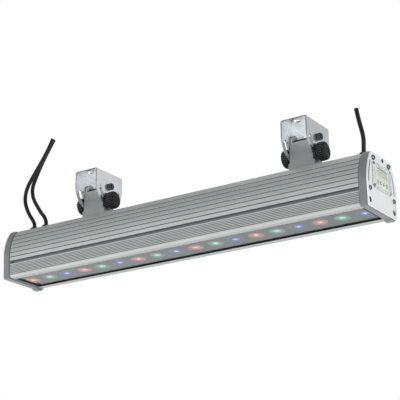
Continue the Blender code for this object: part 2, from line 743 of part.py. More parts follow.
def build_end(bar, name, side, with_pocket):
    """One end of the bar: gasket, cap and bright end plate."""
    cap_holes = [circle(place, CAP_SCREW_RADIUS + SCREW_ROOM) for place in screw_places(CAP_SCREW_TOP)]
    sunk_holes = [circle(place, SUNK_SCREW_RADIUS + SCREW_ROOM) for place in screw_places(CAP_SCREW_FOOT)]
    plate_holes = [circle(place, PLATE_SCREW_RADIUS + SCREW_ROOM) for place in screw_places(PLATE_SCREW)]
    vent_hole = [circle(VENT, VENT_RADIUS + TOUCH)]
    pockets = [pocket(POCKET_WIDTH, POCKET_HEIGHT)] if with_pocket else []
    views = [pocket(VIEW_WIDTH, VIEW_HEIGHT)] if with_pocket else []
    cover_holes = []
    if with_pocket:
        cover_holes = [circle(place, COVER_SCREW_RADIUS + SCREW_ROOM, 8) for place in cover_screw_places()]

    side_y = CAP_SCREW_TOP[0] - GASKET_WALL
    opening = rectangle((-side_y, SHELF_TOP), (side_y, CHAMBER_TOP))
    gasket = prism("X", side * (GASKET_END - GASKET_THICKNESS), side * GASKET_END, end_outline(GASKET_INSET),
                   [opening, *cap_holes, *sunk_holes])
    solid(f"{name}_cap_gasket", [gasket], "black_rubber", bar)

    cap = prism("X", side * CAP_INNER, side * CAP_OUTER, end_outline(0, lug=True),
                [*cap_holes, *sunk_holes, *plate_holes, *vent_hole, *pockets, *cover_holes])
    casting = solid(f"{name}_end_cap", [cap], "grey_casting", bar)
    sunk_radius = SUNK_HEAD_RADIUS + SCREW_ROOM
    sinks = [
        rod("X", place, sunk_radius, side * (CAP_OUTER - SUNK_DEPTH), side * (CAP_OUTER + MM))
        for place in screw_places(CAP_SCREW_FOOT)
    ]
    slots = [side_slot(sign) for sign in (-1, 1)]
    slot_floor = side * (CAP_OUTER - SIDE_SLOT_DEPTH)
    sinks += [prism("X", slot_floor, side * (CAP_OUTER + MM), slot) for slot in slots]
    combine(casting, "DIFFERENCE", "sinks", sinks)

    through = [circle(place, sunk_radius) for place in screw_places(CAP_SCREW_FOOT)]
    plate = prism("X", side * (CAP_OUTER + TOUCH), side * BAR_LENGTH / 2, end_outline(PLATE_INSET),
                  [*cap_holes, *through, *plate_holes, *vent_hole, *views, *cover_holes, *slots])
    sheet = solid(f"{name}_end_plate", [plate], "bright_plate", bar)
    field = prism("X", side * PLATE_FACE, side * (BAR_LENGTH / 2 + MM), end_outline(PLATE_INSET + RIM_WIDTH))
    combine(sheet, "DIFFERENCE", "field", [field])


def side_slot(sign):
    """The long thin slot that follows one side of the end plate and goes on into the cap."""
    steps = 5
    outer = []
    inner = []
    for i in range(steps + 1):
        z = SIDE_SLOT_LOW + (SIDE_SLOT_HIGH - SIDE_SLOT_LOW) * i / steps
        outer.append((sign * (side_half(z) - SIDE_SLOT_INSET), z))
        inner.append((sign * (side_half(z) - SIDE_SLOT_INSET - SIDE_SLOT_WIDTH), z))
    return outer + inner[::-1]


def build_cap_screws(bar, name, side):
    """The four screws of one end: the upper two through the plate, the lower two sunk in the cap."""
    seat = side * (PLATE_FACE + TOUCH)
    for i, place in enumerate(screw_places(CAP_SCREW_TOP)):
        screw = pan_screw("X", place, seat, side, CAP_HEAD_RADIUS, CAP_HEAD_HEIGHT, CAP_SCREW_RADIUS,
                          CAP_SCREW_LENGTH)
        solid(f"{name}_upper_cap_screw_{i + 1}", [screw], "screw_steel", bar, shade_smooth=True)
    seat = side * (CAP_OUTER - SUNK_DEPTH + TOUCH)
    for i, place in enumerate(screw_places(CAP_SCREW_FOOT)):
        screw = pan_screw("X", place, seat, side, SUNK_HEAD_RADIUS, SUNK_HEAD_HEIGHT, SUNK_SCREW_RADIUS,
                          CAP_SCREW_LENGTH - SUNK_DEPTH)
        solid(f"{name}_lower_cap_screw_{i + 1}", [screw], "screw_steel", bar, shade_smooth=True)


def button_places():
    """Where the four buttons sit on the control panel."""
    row = (len(BUTTON_NAMES) - 1) / 2
    return [((i - row) * BUTTON_PITCH, POCKET_Z - BUTTON_DROP) for i in range(len(BUTTON_NAMES))]


def build_controls(bar):
    """The control board, display, panel and buttons in the right cap, under a clear screwed cover."""
    board = pocket(POCKET_WIDTH - 2 * TOUCH, POCKET_HEIGHT - 2 * TOUCH)
    shell = prism("X", CONTROL_BOARD_OUTER - BOARD_THICKNESS, CONTROL_BOARD_OUTER, board)
    solid("control_board", [shell], "board_green", bar)

    display_low = POCKET_Z + DISPLAY_RISE - DISPLAY_HEIGHT / 2
    view = rectangle((-DISPLAY_WIDTH / 2, display_low), (DISPLAY_WIDTH / 2, display_low + DISPLAY_HEIGHT))
    stems = [circle(place, BUTTON_RADIUS + TOUCH) for place in button_places()]
    solid("control_panel", [prism("X", PANEL_INNER, CAP_OUTER, board, [view, *stems])], "black_plastic", bar)
    edge = DISPLAY_WIDTH / 2 + DISPLAY_BORDER
    low = (CONTROL_BOARD_OUTER + TOUCH, -edge, display_low - DISPLAY_BORDER)
    high = (PANEL_INNER - TOUCH, edge, display_low + DISPLAY_HEIGHT + DISPLAY_BORDER)
    solid("control_display", [block(low, high)], "part_dark", bar)

    flange_outer = PANEL_INNER - TOUCH
    stem_low = CONTROL_BOARD_OUTER + BUTTON_TRAVEL + 2 * TOUCH
    for name, place in zip(BUTTON_NAMES, button_places()):
        profile = [
            (0, 0), (BUTTON_RADIUS, 0), (BUTTON_RADIUS, flange_outer - BUTTON_FLANGE - stem_low),
            (BUTTON_FLANGE_RADIUS, flange_outer - BUTTON_FLANGE - stem_low),
            (BUTTON_FLANGE_RADIUS, flange_outer - stem_low), (BUTTON_RADIUS, flange_outer - stem_low),
            (BUTTON_RADIUS, CAP_OUTER + BUTTON_PROUD - BUTTON_CHAMFER - stem_low),
            (BUTTON_RADIUS - BUTTON_CHAMFER, CAP_OUTER + BUTTON_PROUD - stem_low),
            (0, CAP_OUTER + BUTTON_PROUD - stem_low),
        ]
        shell = turned("X", (0, 0), profile, 12)
        solid(name, [shell], "button_grey", bar, (stem_low, place[0], place[1]), shade_smooth=True)

    gasket_low = PLATE_FACE + TOUCH
    cover_low = gasket_low + COVER_GASKET + TOUCH
    holes = [circle(place, COVER_SCREW_RADIUS + SCREW_ROOM, 8) for place in cover_screw_places()]
    outline = rounded(pocket(COVER_WIDTH, COVER_HEIGHT), COVER_CORNER)
    inside = pocket(VIEW_WIDTH + MM, VIEW_HEIGHT + MM)
    shell = prism("X", gasket_low, gasket_low + COVER_GASKET, outline, [inside, *holes])
    solid("cover_gasket", [shell], "black_rubber", bar)
    cover = prism("X", cover_low, cover_low + COVER_THICKNESS, outline, holes)
    solid("control_cover", [cover], "clear_plastic", bar)


def build_electronics(bar):
    """The power supply with its terminals, and the driver board with its coils and chips."""
    floor = CHAMBER_FLOOR
    low, high = SUPPLY_SPAN
    case = rounded(rectangle((-SUPPLY_HALF, floor), (SUPPLY_HALF, floor + SUPPLY_HEIGHT)), 2 * MM, 2)
    supply = solid("power_supply", [prism("X", low, high, case)], "part_dark", bar)
    terminals = block((low - TERMINAL_LENGTH, -TERMINAL_HALF, floor + MM),
                      (low + MM, TERMINAL_HALF, floor + TERMINAL_HEIGHT))
    combine(supply, "UNION", "terminals", [terminals])

    low, high = DRIVER_SPAN
    top = floor + BOARD_THICKNESS
    inside = floor + BOARD_THICKNESS / 2
    board = block((low, -DRIVER_HALF, floor), (high, DRIVER_HALF, top))
    driver = solid("driver_board", [board], "board_green", bar)
    parts = []
    for i in range(DRIVER_CELLS):
        x = cell_middle(i)
        half = CONNECTOR_LENGTH / 2
        parts.append(rod("Z", (x, COIL_Y), COIL_RADIUS, inside, top + COIL_HEIGHT))
        parts.append(block((x - half, CONNECTOR_Y - half, inside),
                           (x + half, CONNECTOR_Y + half, top + CONNECTOR_HEIGHT)))
        parts.append(block((x - CHIP_SIZE / 2, CHIP_Y, inside),
                           (x + CHIP_SIZE / 2, CHIP_Y + CHIP_SIZE, top + CHIP_HEIGHT)))
    combine(driver, "UNION", "parts", parts)


def cell_middle(index):
    """Where one of the driver board's like sets of parts sits along the bar."""
    low, high = DRIVER_SPAN
    return low + (high - low) * (index + 0.5) / DRIVER_CELLS


def connector_face(index):
    """The end of the board's first or last connector that looks out along the bar."""
    return cell_middle(index) + (CONNECTOR_LENGTH / 2 if index else -CONNECTOR_LENGTH / 2)


def build_glands(bar):
    """The three cable glands on the bar's top, each with its nut."""
    bore = CABLE_DIAMETER / 2 + CABLE_ROOM
    for name, x in (("mains", MAINS_X), ("data_in", DATA_IN_X), ("data_out", DATA_OUT_X)):
        flange = hexagon("Z", (0, 0), GLAND_FLATS, GLAND_LOW, GLAND_LOW + GLAND_HEX_HEIGHT)
        thread = rod("Z", (0, 0), GLAND_THREAD_RADIUS, CHAMBER_TOP, GLAND_LOW + MM)
        gland = solid(f"{name}_gland", [flange], "black_plastic", bar, (x, 0, 0))
        combine(gland, "UNION", "thread", [thread])
        profile = [
            (0, GLAND_NUT_LOW), (GLAND_NUT_RADIUS, GLAND_NUT_LOW),
            (GLAND_NUT_RADIUS, GLAND_NUT_TOP - GLAND_DOME),
            (GLAND_SHOULDER_RADIUS, GLAND_NUT_TOP - GLAND_DOME / 2), (GLAND_MOUTH_RADIUS, GLAND_NUT_TOP),
            (bore, GLAND_NUT_TOP), (bore, CABLE_SEAT), (0, CABLE_SEAT),
        ]
        nut = turned("Z", (0, 0), profile, 12)
        solid(f"{name}_gland_nut", [nut], "black_plastic", bar, (x, 0, 0), shade_smooth=True)


def smooth_route(points, step):
    """Evenly spaced points of a smooth curve through a route's own points."""
    ends = [points[0] * 2 - points[1], *points, points[-1] * 2 - points[-2]]
    fine = []
    for a, b, c, d in zip(ends, ends[1:], ends[2:], ends[3:]):
        for i in range(12):
            t = i / 12
            fine.append(0.5 * (2 * b + (c - a) * t + (2 * a - 5 * b + 4 * c - d) * t**2
                               + (3 * b - a - 3 * c + d) * t**3))
    fine.append(points[-1])
    lengths = [0.0]
    for a, b in zip(fine, fine[1:]):
        lengths.append(lengths[-1] + (b - a).length)
    count = max(2, round(lengths[-1] / step))
    even = []
    k = 0
    for i in range(count + 1):
        target = lengths[-1] * i / count
        while k < len(lengths) - 2 and lengths[k + 1] < target:
            k += 1
        share = (target - lengths[k]) / max(lengths[k + 1] - lengths[k], 1e-9)
        even.append(fine[k].lerp(fine[k + 1], min(1.0, max(0.0, share))))
    return even


def tube(name, route, diameter):
    """A round cord along a route in world space, with its ends closed and a point every few diameters."""
    places = smooth_route(route, CORD_STEP * diameter)
    curve = bpy.data.curves.new(name, "CURVE")
    curve.dimensions = "3D"
    curve.bevel_depth = diameter / 2
    curve.bevel_resolution = 2
    curve.use_fill_caps = True
    spline = curve.splines.new("POLY")
    spline.points.add(len(places) - 1)
    for point, place in zip(spline.points, places):
        point.co = (*place, 1.0)
    curve.materials.append(finish("cable_jacket"))
    bpy.context.scene.collection.objects.link(bpy.data.objects.new(name, curve))


def build_cables():
    """The three cut cable tails above the glands, and the leads below them inside the bar."""
    start = CABLE_START - HANG_HEIGHT
    for name, x, route in (
        ("mains_cable", MAINS_X, MAINS_ROUTE),
        ("data_in_cable", DATA_IN_X, DATA_IN_ROUTE),
        ("data_out_cable", DATA_OUT_X, DATA_OUT_ROUTE),
    ):
        points = [Vector((x + BAR_MIDDLE_X, 0, start))] + [Vector(place) * MM for place in route]
        tube(name, points, CABLE_DIAMETER)

    below = CHAMBER_TOP - TOUCH
    over_supply = CHAMBER_FLOOR + SUPPLY_HEIGHT + TOUCH + LEAD_DIAMETER / 2
    over_board = CHAMBER_FLOOR + BOARD_THICKNESS + TOUCH + LEAD_DIAMETER / 2
    at_terminals = (SUPPLY_SPAN[0] - TERMINAL_LENGTH - TOUCH, 6 * MM, CHAMBER_FLOOR + TERMINAL_HEIGHT / 2)
    leads = {
        "mains_lead": [
            (MAINS_X, 0, below), (MAINS_X, 0, below - 6 * MM), (MAINS_X + 7 * MM, 3 * MM, below - 17 * MM),
            (at_terminals[0] - 24 * MM, 6 * MM, at_terminals[2] + 3 * MM),
            (at_terminals[0] - 10 * MM, 6 * MM, at_terminals[2]), at_terminals,
        ],
        "data_in_lead": [
            (DATA_IN_X, 0, below), (DATA_IN_X, 0, below - 5 * MM),
            (DATA_IN_X + 9 * MM, -5 * MM, below - 12 * MM),
            (SUPPLY_SPAN[0] - 28 * MM, -8 * MM, below - 12 * MM),
            (SUPPLY_SPAN[0] - 12 * MM, -8 * MM, over_supply - 2 * MM),
            (SUPPLY_SPAN[0], -8 * MM, over_supply + MM),
            (SUPPLY_SPAN[0] + 15 * MM, -8 * MM, over_supply),
            (SUPPLY_SPAN[1] - 15 * MM, -8 * MM, over_supply),
            (SUPPLY_SPAN[1] + MM, -7 * MM, over_supply + MM),
            (SUPPLY_SPAN[1] + 12 * MM, -3 * MM, over_supply - 6 * MM),
            (DRIVER_SPAN[0] - 6 * MM, 2 * MM, over_board + 7 * MM),
            (DRIVER_SPAN[0] + 2 * MM, CONNECTOR_Y, over_board + MM),
            (connector_face(0) - TOUCH, CONNECTOR_Y, over_board),
        ],
        "data_out_lead": [
            (DATA_OUT_X, 0, below), (DATA_OUT_X, 0, below - 6 * MM),
            (DATA_OUT_X - 8 * MM, MM, below - 17 * MM),
            (DRIVER_SPAN[1] + 24 * MM, 2 * MM, over_board + 5 * MM),
            (DRIVER_SPAN[1] + 8 * MM, CONNECTOR_Y, over_board + MM),
            (connector_face(DRIVER_CELLS - 1) + TOUCH, CONNECTOR_Y, over_board),
        ],
    }
    origin = Vector((BAR_MIDDLE_X, 0, -HANG_HEIGHT))
    for name, route in leads.items():
        tube(name, [origin + Vector(place) for place in route], LEAD_DIAMETER)


def yoke_profile():
    """The yoke's bent sheet seen along Y: an upside-down U with rounded bends."""
    half = YOKE_WIDTH / 2
    top = PIVOT_DROP
    low = -YOKE_DEPTH / 2 - MM
    inner = half - YOKE_SHEET
    ceiling = top - YOKE_SHEET
    inner_bend = YOKE_BEND - YOKE_SHEET
    outside = arc((half - YOKE_BEND, top - YOKE_BEND), YOKE_BEND, 0, 90, 4)
    inside = arc((inner - inner_bend, ceiling - inner_bend), inner_bend, 90, 0, 4)
    right = [(half, low), *outside]
    left = [(-x, z) for x, z in reversed(right)]
    inner_right = [*inside, (inner, low)]
    inner_left = [(-x, z) for x, z in reversed(inner_right)]
    return right + left + inner_left + inner_right


def yoke_side():
    """The yoke seen along X: straight down to the tilt axis, then round below it, with its arc slots."""
    half = YOKE_DEPTH / 2
    outline = [(half, PIVOT_DROP + MM), (-half, PIVOT_DROP + MM)] + arc((0, 0), half, 180, 360, 24)
    first = -90 - ARC_HALF_ANGLE
    last = -90 + ARC_HALF_ANGLE
    radius = ARC_SLOT_WIDTH / 2
    ends = []
    for angle, start in ((last, last), (first, first + 180)):
        place = (ARC_RADIUS * cos(radians(angle)), ARC_RADIUS * sin(radians(angle)))
        ends.append(arc(place, radius, start, start + 180, 4)[1:-1])
    outer_arc = arc((0, 0), ARC_RADIUS + radius, first, last, 16)
    inner_arc = arc((0, 0), ARC_RADIUS - radius, last, first, 16)
    slot = outer_arc + ends[0] + inner_arc + ends[1]
    return outline, [slot, circle((0, 0), BOLT_HOLE)]


def build_yoke(name, pivot):
    """One bright yoke: bent sheet, round below the tilt axis, with two bolt holes in its top."""
    sheet = prism("Y", -YOKE_DEPTH / 2 - MM, YOKE_DEPTH / 2 + MM, yoke_profile())
    yoke = solid(name, [sheet], "zinc_steel", pivot)
    outline, holes = yoke_side()
    combine(yoke, "INTERSECT", "side", [prism("X", -YOKE_WIDTH, YOKE_WIDTH, outline, holes)])
    places = [(0, sign * YOKE_HOLE_SPACING / 2) for sign in (-1, 1)]
    bores = [rod("Z", place, YOKE_HOLE_RADIUS, 0, PIVOT_DROP + MM, 16) for place in places]
    combine(yoke, "DIFFERENCE", "top_holes", bores)


def bracket_side(base):
    """The bracket seen along X: upright at the foot, leaning back above the bend to the round boss."""
    boss = arc((0, 0), BRACKET_BOSS, -15, 195, 12)
    return [
        (-BRACKET_FRONT, base), (BRACKET_BACK, base), (BRACKET_BACK, base + FOOT_HEIGHT), *boss,
        (-BRACKET_FRONT, BRACKET_BEND_Z),
    ]


def bracket_hollow():
    """The space between the bracket's two arms, seen along X."""
    lean_top = -BRACKET_BOSS + BRACKET_WALL
    return [
        (-BRACKET_FRONT + BRACKET_WALL, BRACKET_FLOOR), (BRACKET_BACK + MM, BRACKET_FLOOR),
        (BRACKET_BACK + MM, BRACKET_BOSS + MM), (-BRACKET_FRONT - MM, BRACKET_BOSS + MM),
        (-BRACKET_FRONT - MM, WEB_TOP_Z), (lean_top, WEB_TOP_Z),
        (-BRACKET_FRONT + BRACKET_WALL, BRACKET_BEND_Z),
    ]


def build_bracket(name, pivot):
    """One cast bracket: two arms joined by a front web and a base that is screwed to the bar's top slot."""
    bracket = solid(name, [prism("X", -BRACKET_OUTER, BRACKET_OUTER, bracket_side(BRACKET_BASE))],
                    "grey_casting", pivot)
    shoulder = FOOT_HEIGHT - (FOOT_WIDTH / 2 - BRACKET_OUTER)
    base_shape = mirrored([
        (FOOT_WIDTH / 2, BRACKET_BASE), (FOOT_WIDTH / 2, BRACKET_BASE + shoulder),
        (BRACKET_OUTER - MM, BRACKET_BASE + FOOT_HEIGHT),
    ])
    combine(bracket, "UNION", "foot", [prism("Y", -BRACKET_FRONT, BRACKET_BACK, base_shape)])
    combine(bracket, "DIFFERENCE", "hollow", [prism("X", -BRACKET_INNER, BRACKET_INNER, bracket_hollow())])
    bosses = [
        rod("X", (0, -ARC_RADIUS), THREAD_BOSS_RADIUS, side * (BRACKET_INNER - THREAD_BOSS_HEIGHT),
            side * (BRACKET_INNER + MM))
        for side in (-1, 1)
    ]
    combine(bracket, "UNION", "thread_bosses", bosses)
    bores = [rod("X", (0, z), BOLT_HOLE, -PAST, PAST) for z in (0, -ARC_RADIUS)]
    combine(bracket, "DIFFERENCE", "bores", bores)
    bases = [rod("Z", (x, 0), BOLT_HOLE, BRACKET_BASE - MM, BRACKET_FLOOR + MM) for x in base_screw_places()]
    combine(bracket, "DIFFERENCE", "base_holes", bases)


def base_screw_places():
    """Where a bracket's two base screws sit along the bar, from the bracket's middle."""
    return (-BASE_SCREW_SPACING / 2, BASE_SCREW_SPACING / 2)


def build_knob(name, pivot, side):
    """One clamping knob with its moulded-in stud, which passes the arc slot into the bracket's boss."""
    seat = side * (YOKE_WIDTH / 2 + TOUCH)
    outer = seat + side * KNOB_THICKNESS
    collar = seat + side * KNOB_COLLAR
    tip = side * (BRACKET_INNER - THREAD_BOSS_HEIGHT - STUD_TAIL)
    crown = outer - side * KNOB_CROWN
    profile = [
        (0, tip), (BOLT_RADIUS, tip), (BOLT_RADIUS, seat), (KNOB_COLLAR_RADIUS, seat),
        (KNOB_COLLAR_RADIUS, collar), (KNOB_RADIUS - KNOB_FLUTE_DEPTH, collar, KNOB_FLUTE_DEPTH),
        (KNOB_RADIUS, collar + side * KNOB_FLUTE_DEPTH, KNOB_FLUTE_DEPTH),
        (KNOB_RADIUS, crown, KNOB_FLUTE_DEPTH), (KNOB_RADIUS - KNOB_CROWN * 1.5, outer), (0, outer),
    ]
    shell = turned("X", (0, 0), profile, 2 * KNOB_FLUTES, KNOB_FLUTES)
    solid(name, [shell], "black_plastic", pivot, (0, 0, -ARC_RADIUS), shade_smooth=True)


def build_holder_hardware(name, pivot):
    """The pivot's through bolt and nut, and the screws and slot nut that hold the bracket to the bar."""
    seat = YOKE_WIDTH / 2 + TOUCH
    shank_end = seat + PIVOT_NUT_HEIGHT + BOLT_TAIL
    head = hexagon("X", (0, 0), HEX_FLATS, -seat - HEX_HEIGHT, -seat)
    bolt = solid(f"{name}_pivot_bolt", [head], "black_steel", pivot)
    combine(bolt, "UNION", "shank", [rod("X", (0, 0), BOLT_RADIUS, -seat - HEX_HEIGHT / 2, shank_end)])
    nut = hexagon("X", (0, 0), HEX_FLATS, seat, seat + PIVOT_NUT_HEIGHT, BOLT_HOLE)
    solid(f"{name}_pivot_nut", [nut], "black_steel", pivot)

    length = TOUCH + BRACKET_WALL + TOUCH + SLOT_LIP + TOUCH + SLOT_NUT_HEIGHT
    for i, x in enumerate(base_screw_places()):
        seat = BRACKET_FLOOR + TOUCH
        screw = pan_screw("Z", (x, 0), seat, 1, BASE_HEAD_RADIUS, BASE_HEAD_HEIGHT, BOLT_RADIUS, length)
        solid(f"{name}_bracket_screw_{i + 1}", [screw], "screw_steel", pivot, shade_smooth=True)
    nut_top = BRACKET_BASE - TOUCH - SLOT_LIP - TOUCH
    half_width = SLOT_WIDTH / 2 - TOUCH
    outline = rectangle((-SLOT_NUT_LENGTH / 2, -half_width), (SLOT_NUT_LENGTH / 2, half_width))
    holes = [circle((x, 0), BOLT_HOLE) for x in base_screw_places()]
    slot_nut = prism("Z", nut_top - SLOT_NUT_HEIGHT, nut_top, outline, holes)
    solid(f"{name}_slot_nut", [slot_nut], "screw_steel", pivot)


def build_holders():
    """Both holders: bracket, yoke, a pair of knobs and their hardware."""
    for name, side in (("left", -1), ("right", 1)):
        pivot = anchor(f"{name}_pivot", (side * HOLDER_SPACING / 2, 0, PIVOT_Z))
        build_bracket(f"{name}_bracket", pivot)
        build_yoke(f"{name}_yoke", pivot)
        for knob_name, knob_side in (("left", -1), ("right", 1)):
            build_knob(f"{name}_yoke_{knob_name}_knob", pivot, knob_side)
        build_holder_hardware(name, pivot)


def main():
    """Build the whole wall washer."""
    clear_scene()
    bar = anchor("bar", (BAR_MIDDLE_X, 0, -HANG_HEIGHT))
    build_extrusion(bar)
    build_window(bar)
    build_optics(bar)
    for name, side in (("left", -1), ("right", 1)):
        build_end(bar, name, side, with_pocket=side > 0)
        build_cap_screws(bar, name, side)
    build_controls(bar)
    build_electronics(bar)
    build_glands(bar)
    build_cables()
    build_holders()
    bpy.context.view_layer.update()


main()
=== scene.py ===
"""Looks of an LED wall washer: a finned aluminium bar with eighteen coloured LEDs behind glass, held from
above by two tilting yokes of bright zinc-plated sheet. Everything is in metres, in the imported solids' frame.
"""

import logging
from dataclasses import dataclass, field
from enum import Enum
from math import cos, pi, radians, sin
from typing import Any, Sequence

import bmesh
import bpy
from mathutils import Matrix, Vector


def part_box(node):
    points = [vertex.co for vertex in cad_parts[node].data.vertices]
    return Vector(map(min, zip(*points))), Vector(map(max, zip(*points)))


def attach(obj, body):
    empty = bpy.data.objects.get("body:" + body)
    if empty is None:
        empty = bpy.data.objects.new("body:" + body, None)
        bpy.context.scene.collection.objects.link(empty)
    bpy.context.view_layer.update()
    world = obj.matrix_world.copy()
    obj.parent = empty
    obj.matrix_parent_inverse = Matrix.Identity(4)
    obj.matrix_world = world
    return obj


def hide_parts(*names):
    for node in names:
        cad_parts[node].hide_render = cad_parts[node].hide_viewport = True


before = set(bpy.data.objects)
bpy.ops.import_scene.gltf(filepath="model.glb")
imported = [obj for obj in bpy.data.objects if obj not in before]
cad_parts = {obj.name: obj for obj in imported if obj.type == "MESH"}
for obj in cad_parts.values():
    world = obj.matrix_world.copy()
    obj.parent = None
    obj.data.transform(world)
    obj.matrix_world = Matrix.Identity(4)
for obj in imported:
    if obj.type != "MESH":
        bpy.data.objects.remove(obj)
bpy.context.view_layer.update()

log = logging.getLogger("wall_washer")
MM = 0.001

Point = tuple[float, float]
Place = tuple[float, float, float]

# The bar's own frame starts at the middle of its underside, this far from the world's origin
BAR_START = Vector((-15.7 * MM, 0.0, -123.8 * MM))

# The attribute that carries a share from 0 to 1: a groove's depth for its painted shade, a point's way out
# from the middle of its lens, or the share of a painted highlight on a knob and of a painted reflection on a
# bracket
DEPTH = "depth"

# The part of 0 to 1 that the values of a noise really fill
NOISE_SPAN = (0.3, 0.7)

# Faces across the rounding of an edge, and round the rim for each flute
ROUNDING_STEPS = 2
STEPS_PER_FLUTE = 10.0

# The heights of a flute's cosine between which its side rises
FLUTE_SIDE = (-0.6, 0.5)

# Points nearer than this are one point, and faces that turn by fewer degrees than this are one face
SAME_POINT = 0.001 * MM
SAME_FACE = 0.3


class Side(Enum):
    """The two ends of the bar, or the two cheeks of a yoke, by the word in their nodes' names."""

    LEFT = "left"
    RIGHT = "right"

    @property
    def way(self) -> int:
        """Minus one on the left, plus one on the right."""
        return -1 if self is Side.LEFT else 1

    @property
    def axis(self) -> str:
        """The axis that points outwards on this side, by its letter and sign."""
        return "-X" if self is Side.LEFT else "+X"


class Hue(Enum):
    """The LEDs' three colours in their order from the left: the tints of the lens and of its core."""

    RED = ("red", "#b96a5c", "#e6a99b")
    GREEN = ("green", "#4f9179", "#a6d9c6")
    BLUE = ("blue", "#243c82", "#8ba6dc")

    def __init__(self, word: str, tint: str, core: str) -> None:
        """Keep the parts of the hue's value.

        Args:
            word: The hue's name, for the pieces and finishes.
            tint: The lens's sRGB hex colour.
            core: The bright core's sRGB hex colour.
        """
        self.word = word
        self.tint = tint
        self.core = core


def linear(colour: str) -> tuple[float, float, float, float]:
    """Turn an sRGB hex colour into linear red, green, blue and alpha.

    Args:
        colour: Six hex digits after a hash.

    Returns:
        The colour that a shader socket takes.
    """
    parts = [int(colour[i:i + 2], 16) / 255 for i in (1, 3, 5)]
    red, green, blue = [p / 12.92 if p <= 0.04045 else ((p + 0.055) / 1.055) ** 2.4 for p in parts]
    return red, green, blue, 1.0


def add_node(
    tree: bpy.types.NodeTree, kind: str, inputs: dict[str | int, Any] | None = None, **settings: Any
) -> bpy.types.Node:
    """Add a node to a shader or geometry tree.

    Args:
        tree: The tree that gets the node.
        kind: The node's type.
        inputs: A value, or a socket to link from, for each input that is named or numbered.
        settings: The node's own settings, by name.

    Returns:
        The new node.
    """
    made = tree.nodes.new(kind)
    for name, value in settings.items():
        setattr(made, name, value)
    for key, value in (inputs or {}).items():
        if isinstance(value, bpy.types.NodeSocket):
            tree.links.new(value, made.inputs[key])
        else:
            made.inputs[key].default_value = value
    return made


@dataclass(frozen=True)
class Finish:
    """A surface that one process leaves: two tones, a texture of one real size, and its shine.

    Sizes are in millimetres. The stretch divides the texture's size along each axis.
    """

    name: str
    tone: str
    deep_tone: str
    grain: float
    roughness: float
    roughness_spread: float = 0.08
    metallic: float = 0.0
    ior: float | None = None
    sheen: float = 0.5
    relief: float = 0.0
    stretch: Place = (1.0, 1.0, 1.0)
    cloud: float = 45.0
    cloud_share: float = 0.35

    def material(self) -> bpy.types.Material:
        """The finish as a material, made once and then shared.

        Returns:
            The material.
        """
        made = bpy.data.materials.get(self.name)
        if made is None:
            made = bpy.data.materials.new(self.name)
            made.use_nodes = True
            made.node_tree.nodes.clear()
            shader = self.shader(made.node_tree)
            add_node(made.node_tree, "ShaderNodeOutputMaterial", {"Surface": shader})
            made.diffuse_color = linear(self.tone)
        return made

    def texture(self, tree: bpy.types.NodeTree, place: bpy.types.NodeSocket) -> bpy.types.NodeSocket:
        """The fine texture, from 0 to 1 over the surface.

        Args:
            tree: The material's tree.
            place: The point on the object, as a vector's output.

        Returns:
            The texture's output.
        """
        drawn = add_node(tree, "ShaderNodeMapping", {"Vector": place, "Scale": self.stretch})
        noise = add_node(tree, "ShaderNodeTexNoise", {
            "Vector": drawn.outputs["Vector"], "Scale": 1 / (self.grain * MM), "Detail": 3.0,
            "Roughness": 0.6,
        })
        return noise.outputs["Fac"]

    def shader(self, tree: bpy.types.NodeTree) -> bpy.types.NodeSocket:
        """Build the surface's nodes.

        Args:
            tree: The material's empty tree.

        Returns:
            The shader's output.
        """
        place = add_node(tree, "ShaderNodeTexCoord").outputs["Object"]
        fine = self.texture(tree, place)
        cloud = add_node(tree, "ShaderNodeTexNoise", {
            "Vector": place, "Scale": 1 / (self.cloud * MM), "Detail": 2.0, "Roughness": 0.5,
        })
        both = add_node(tree, "ShaderNodeMix", {0: self.cloud_share, 2: fine, 3: cloud.outputs["Fac"]})
        share = add_node(tree, "ShaderNodeMapRange", {
            "Value": both.outputs[0], "From Min": NOISE_SPAN[0], "From Max": NOISE_SPAN[1],
        })
        tones = add_node(tree, "ShaderNodeMix", {
            0: share.outputs["Result"], 6: linear(self.tone), 7: linear(self.deep_tone),
        }, data_type="RGBA")
        colour = self.shaded(tree, tones.outputs[2])
        rough = add_node(tree, "ShaderNodeMapRange", {
            "Value": both.outputs[0], "From Min": NOISE_SPAN[0], "From Max": NOISE_SPAN[1],
            "To Min": max(self.roughness - self.roughness_spread, 0.02),
            "To Max": min(self.roughness + self.roughness_spread, 1.0),
        })
        body = {
            "Base Color": colour, "Roughness": rough.outputs["Result"], "Metallic": self.metallic,
            "Specular IOR Level": self.sheen,
        }
        if self.ior is not None:
            body["IOR"] = self.ior
        if self.relief:
            bump = add_node(tree, "ShaderNodeBump", {
                "Height": fine, "Distance": self.relief * MM, "Strength": 0.6,
            })
            body["Normal"] = bump.outputs["Normal"]
        body.update(self.extras(colour))
        return add_node(tree, "ShaderNodeBsdfPrincipled", body).outputs["BSDF"]

    def shaded(self, tree: bpy.types.NodeTree, colour: bpy.types.NodeSocket) -> bpy.types.NodeSocket:
        """The colour with any painted light or shade that follows the piece's shape, which here is none."""
        return colour

    def extras(self, colour: bpy.types.NodeSocket) -> dict[str, Any]:
        """Further values for the shader's own sockets, which may follow the colour."""
        return {}


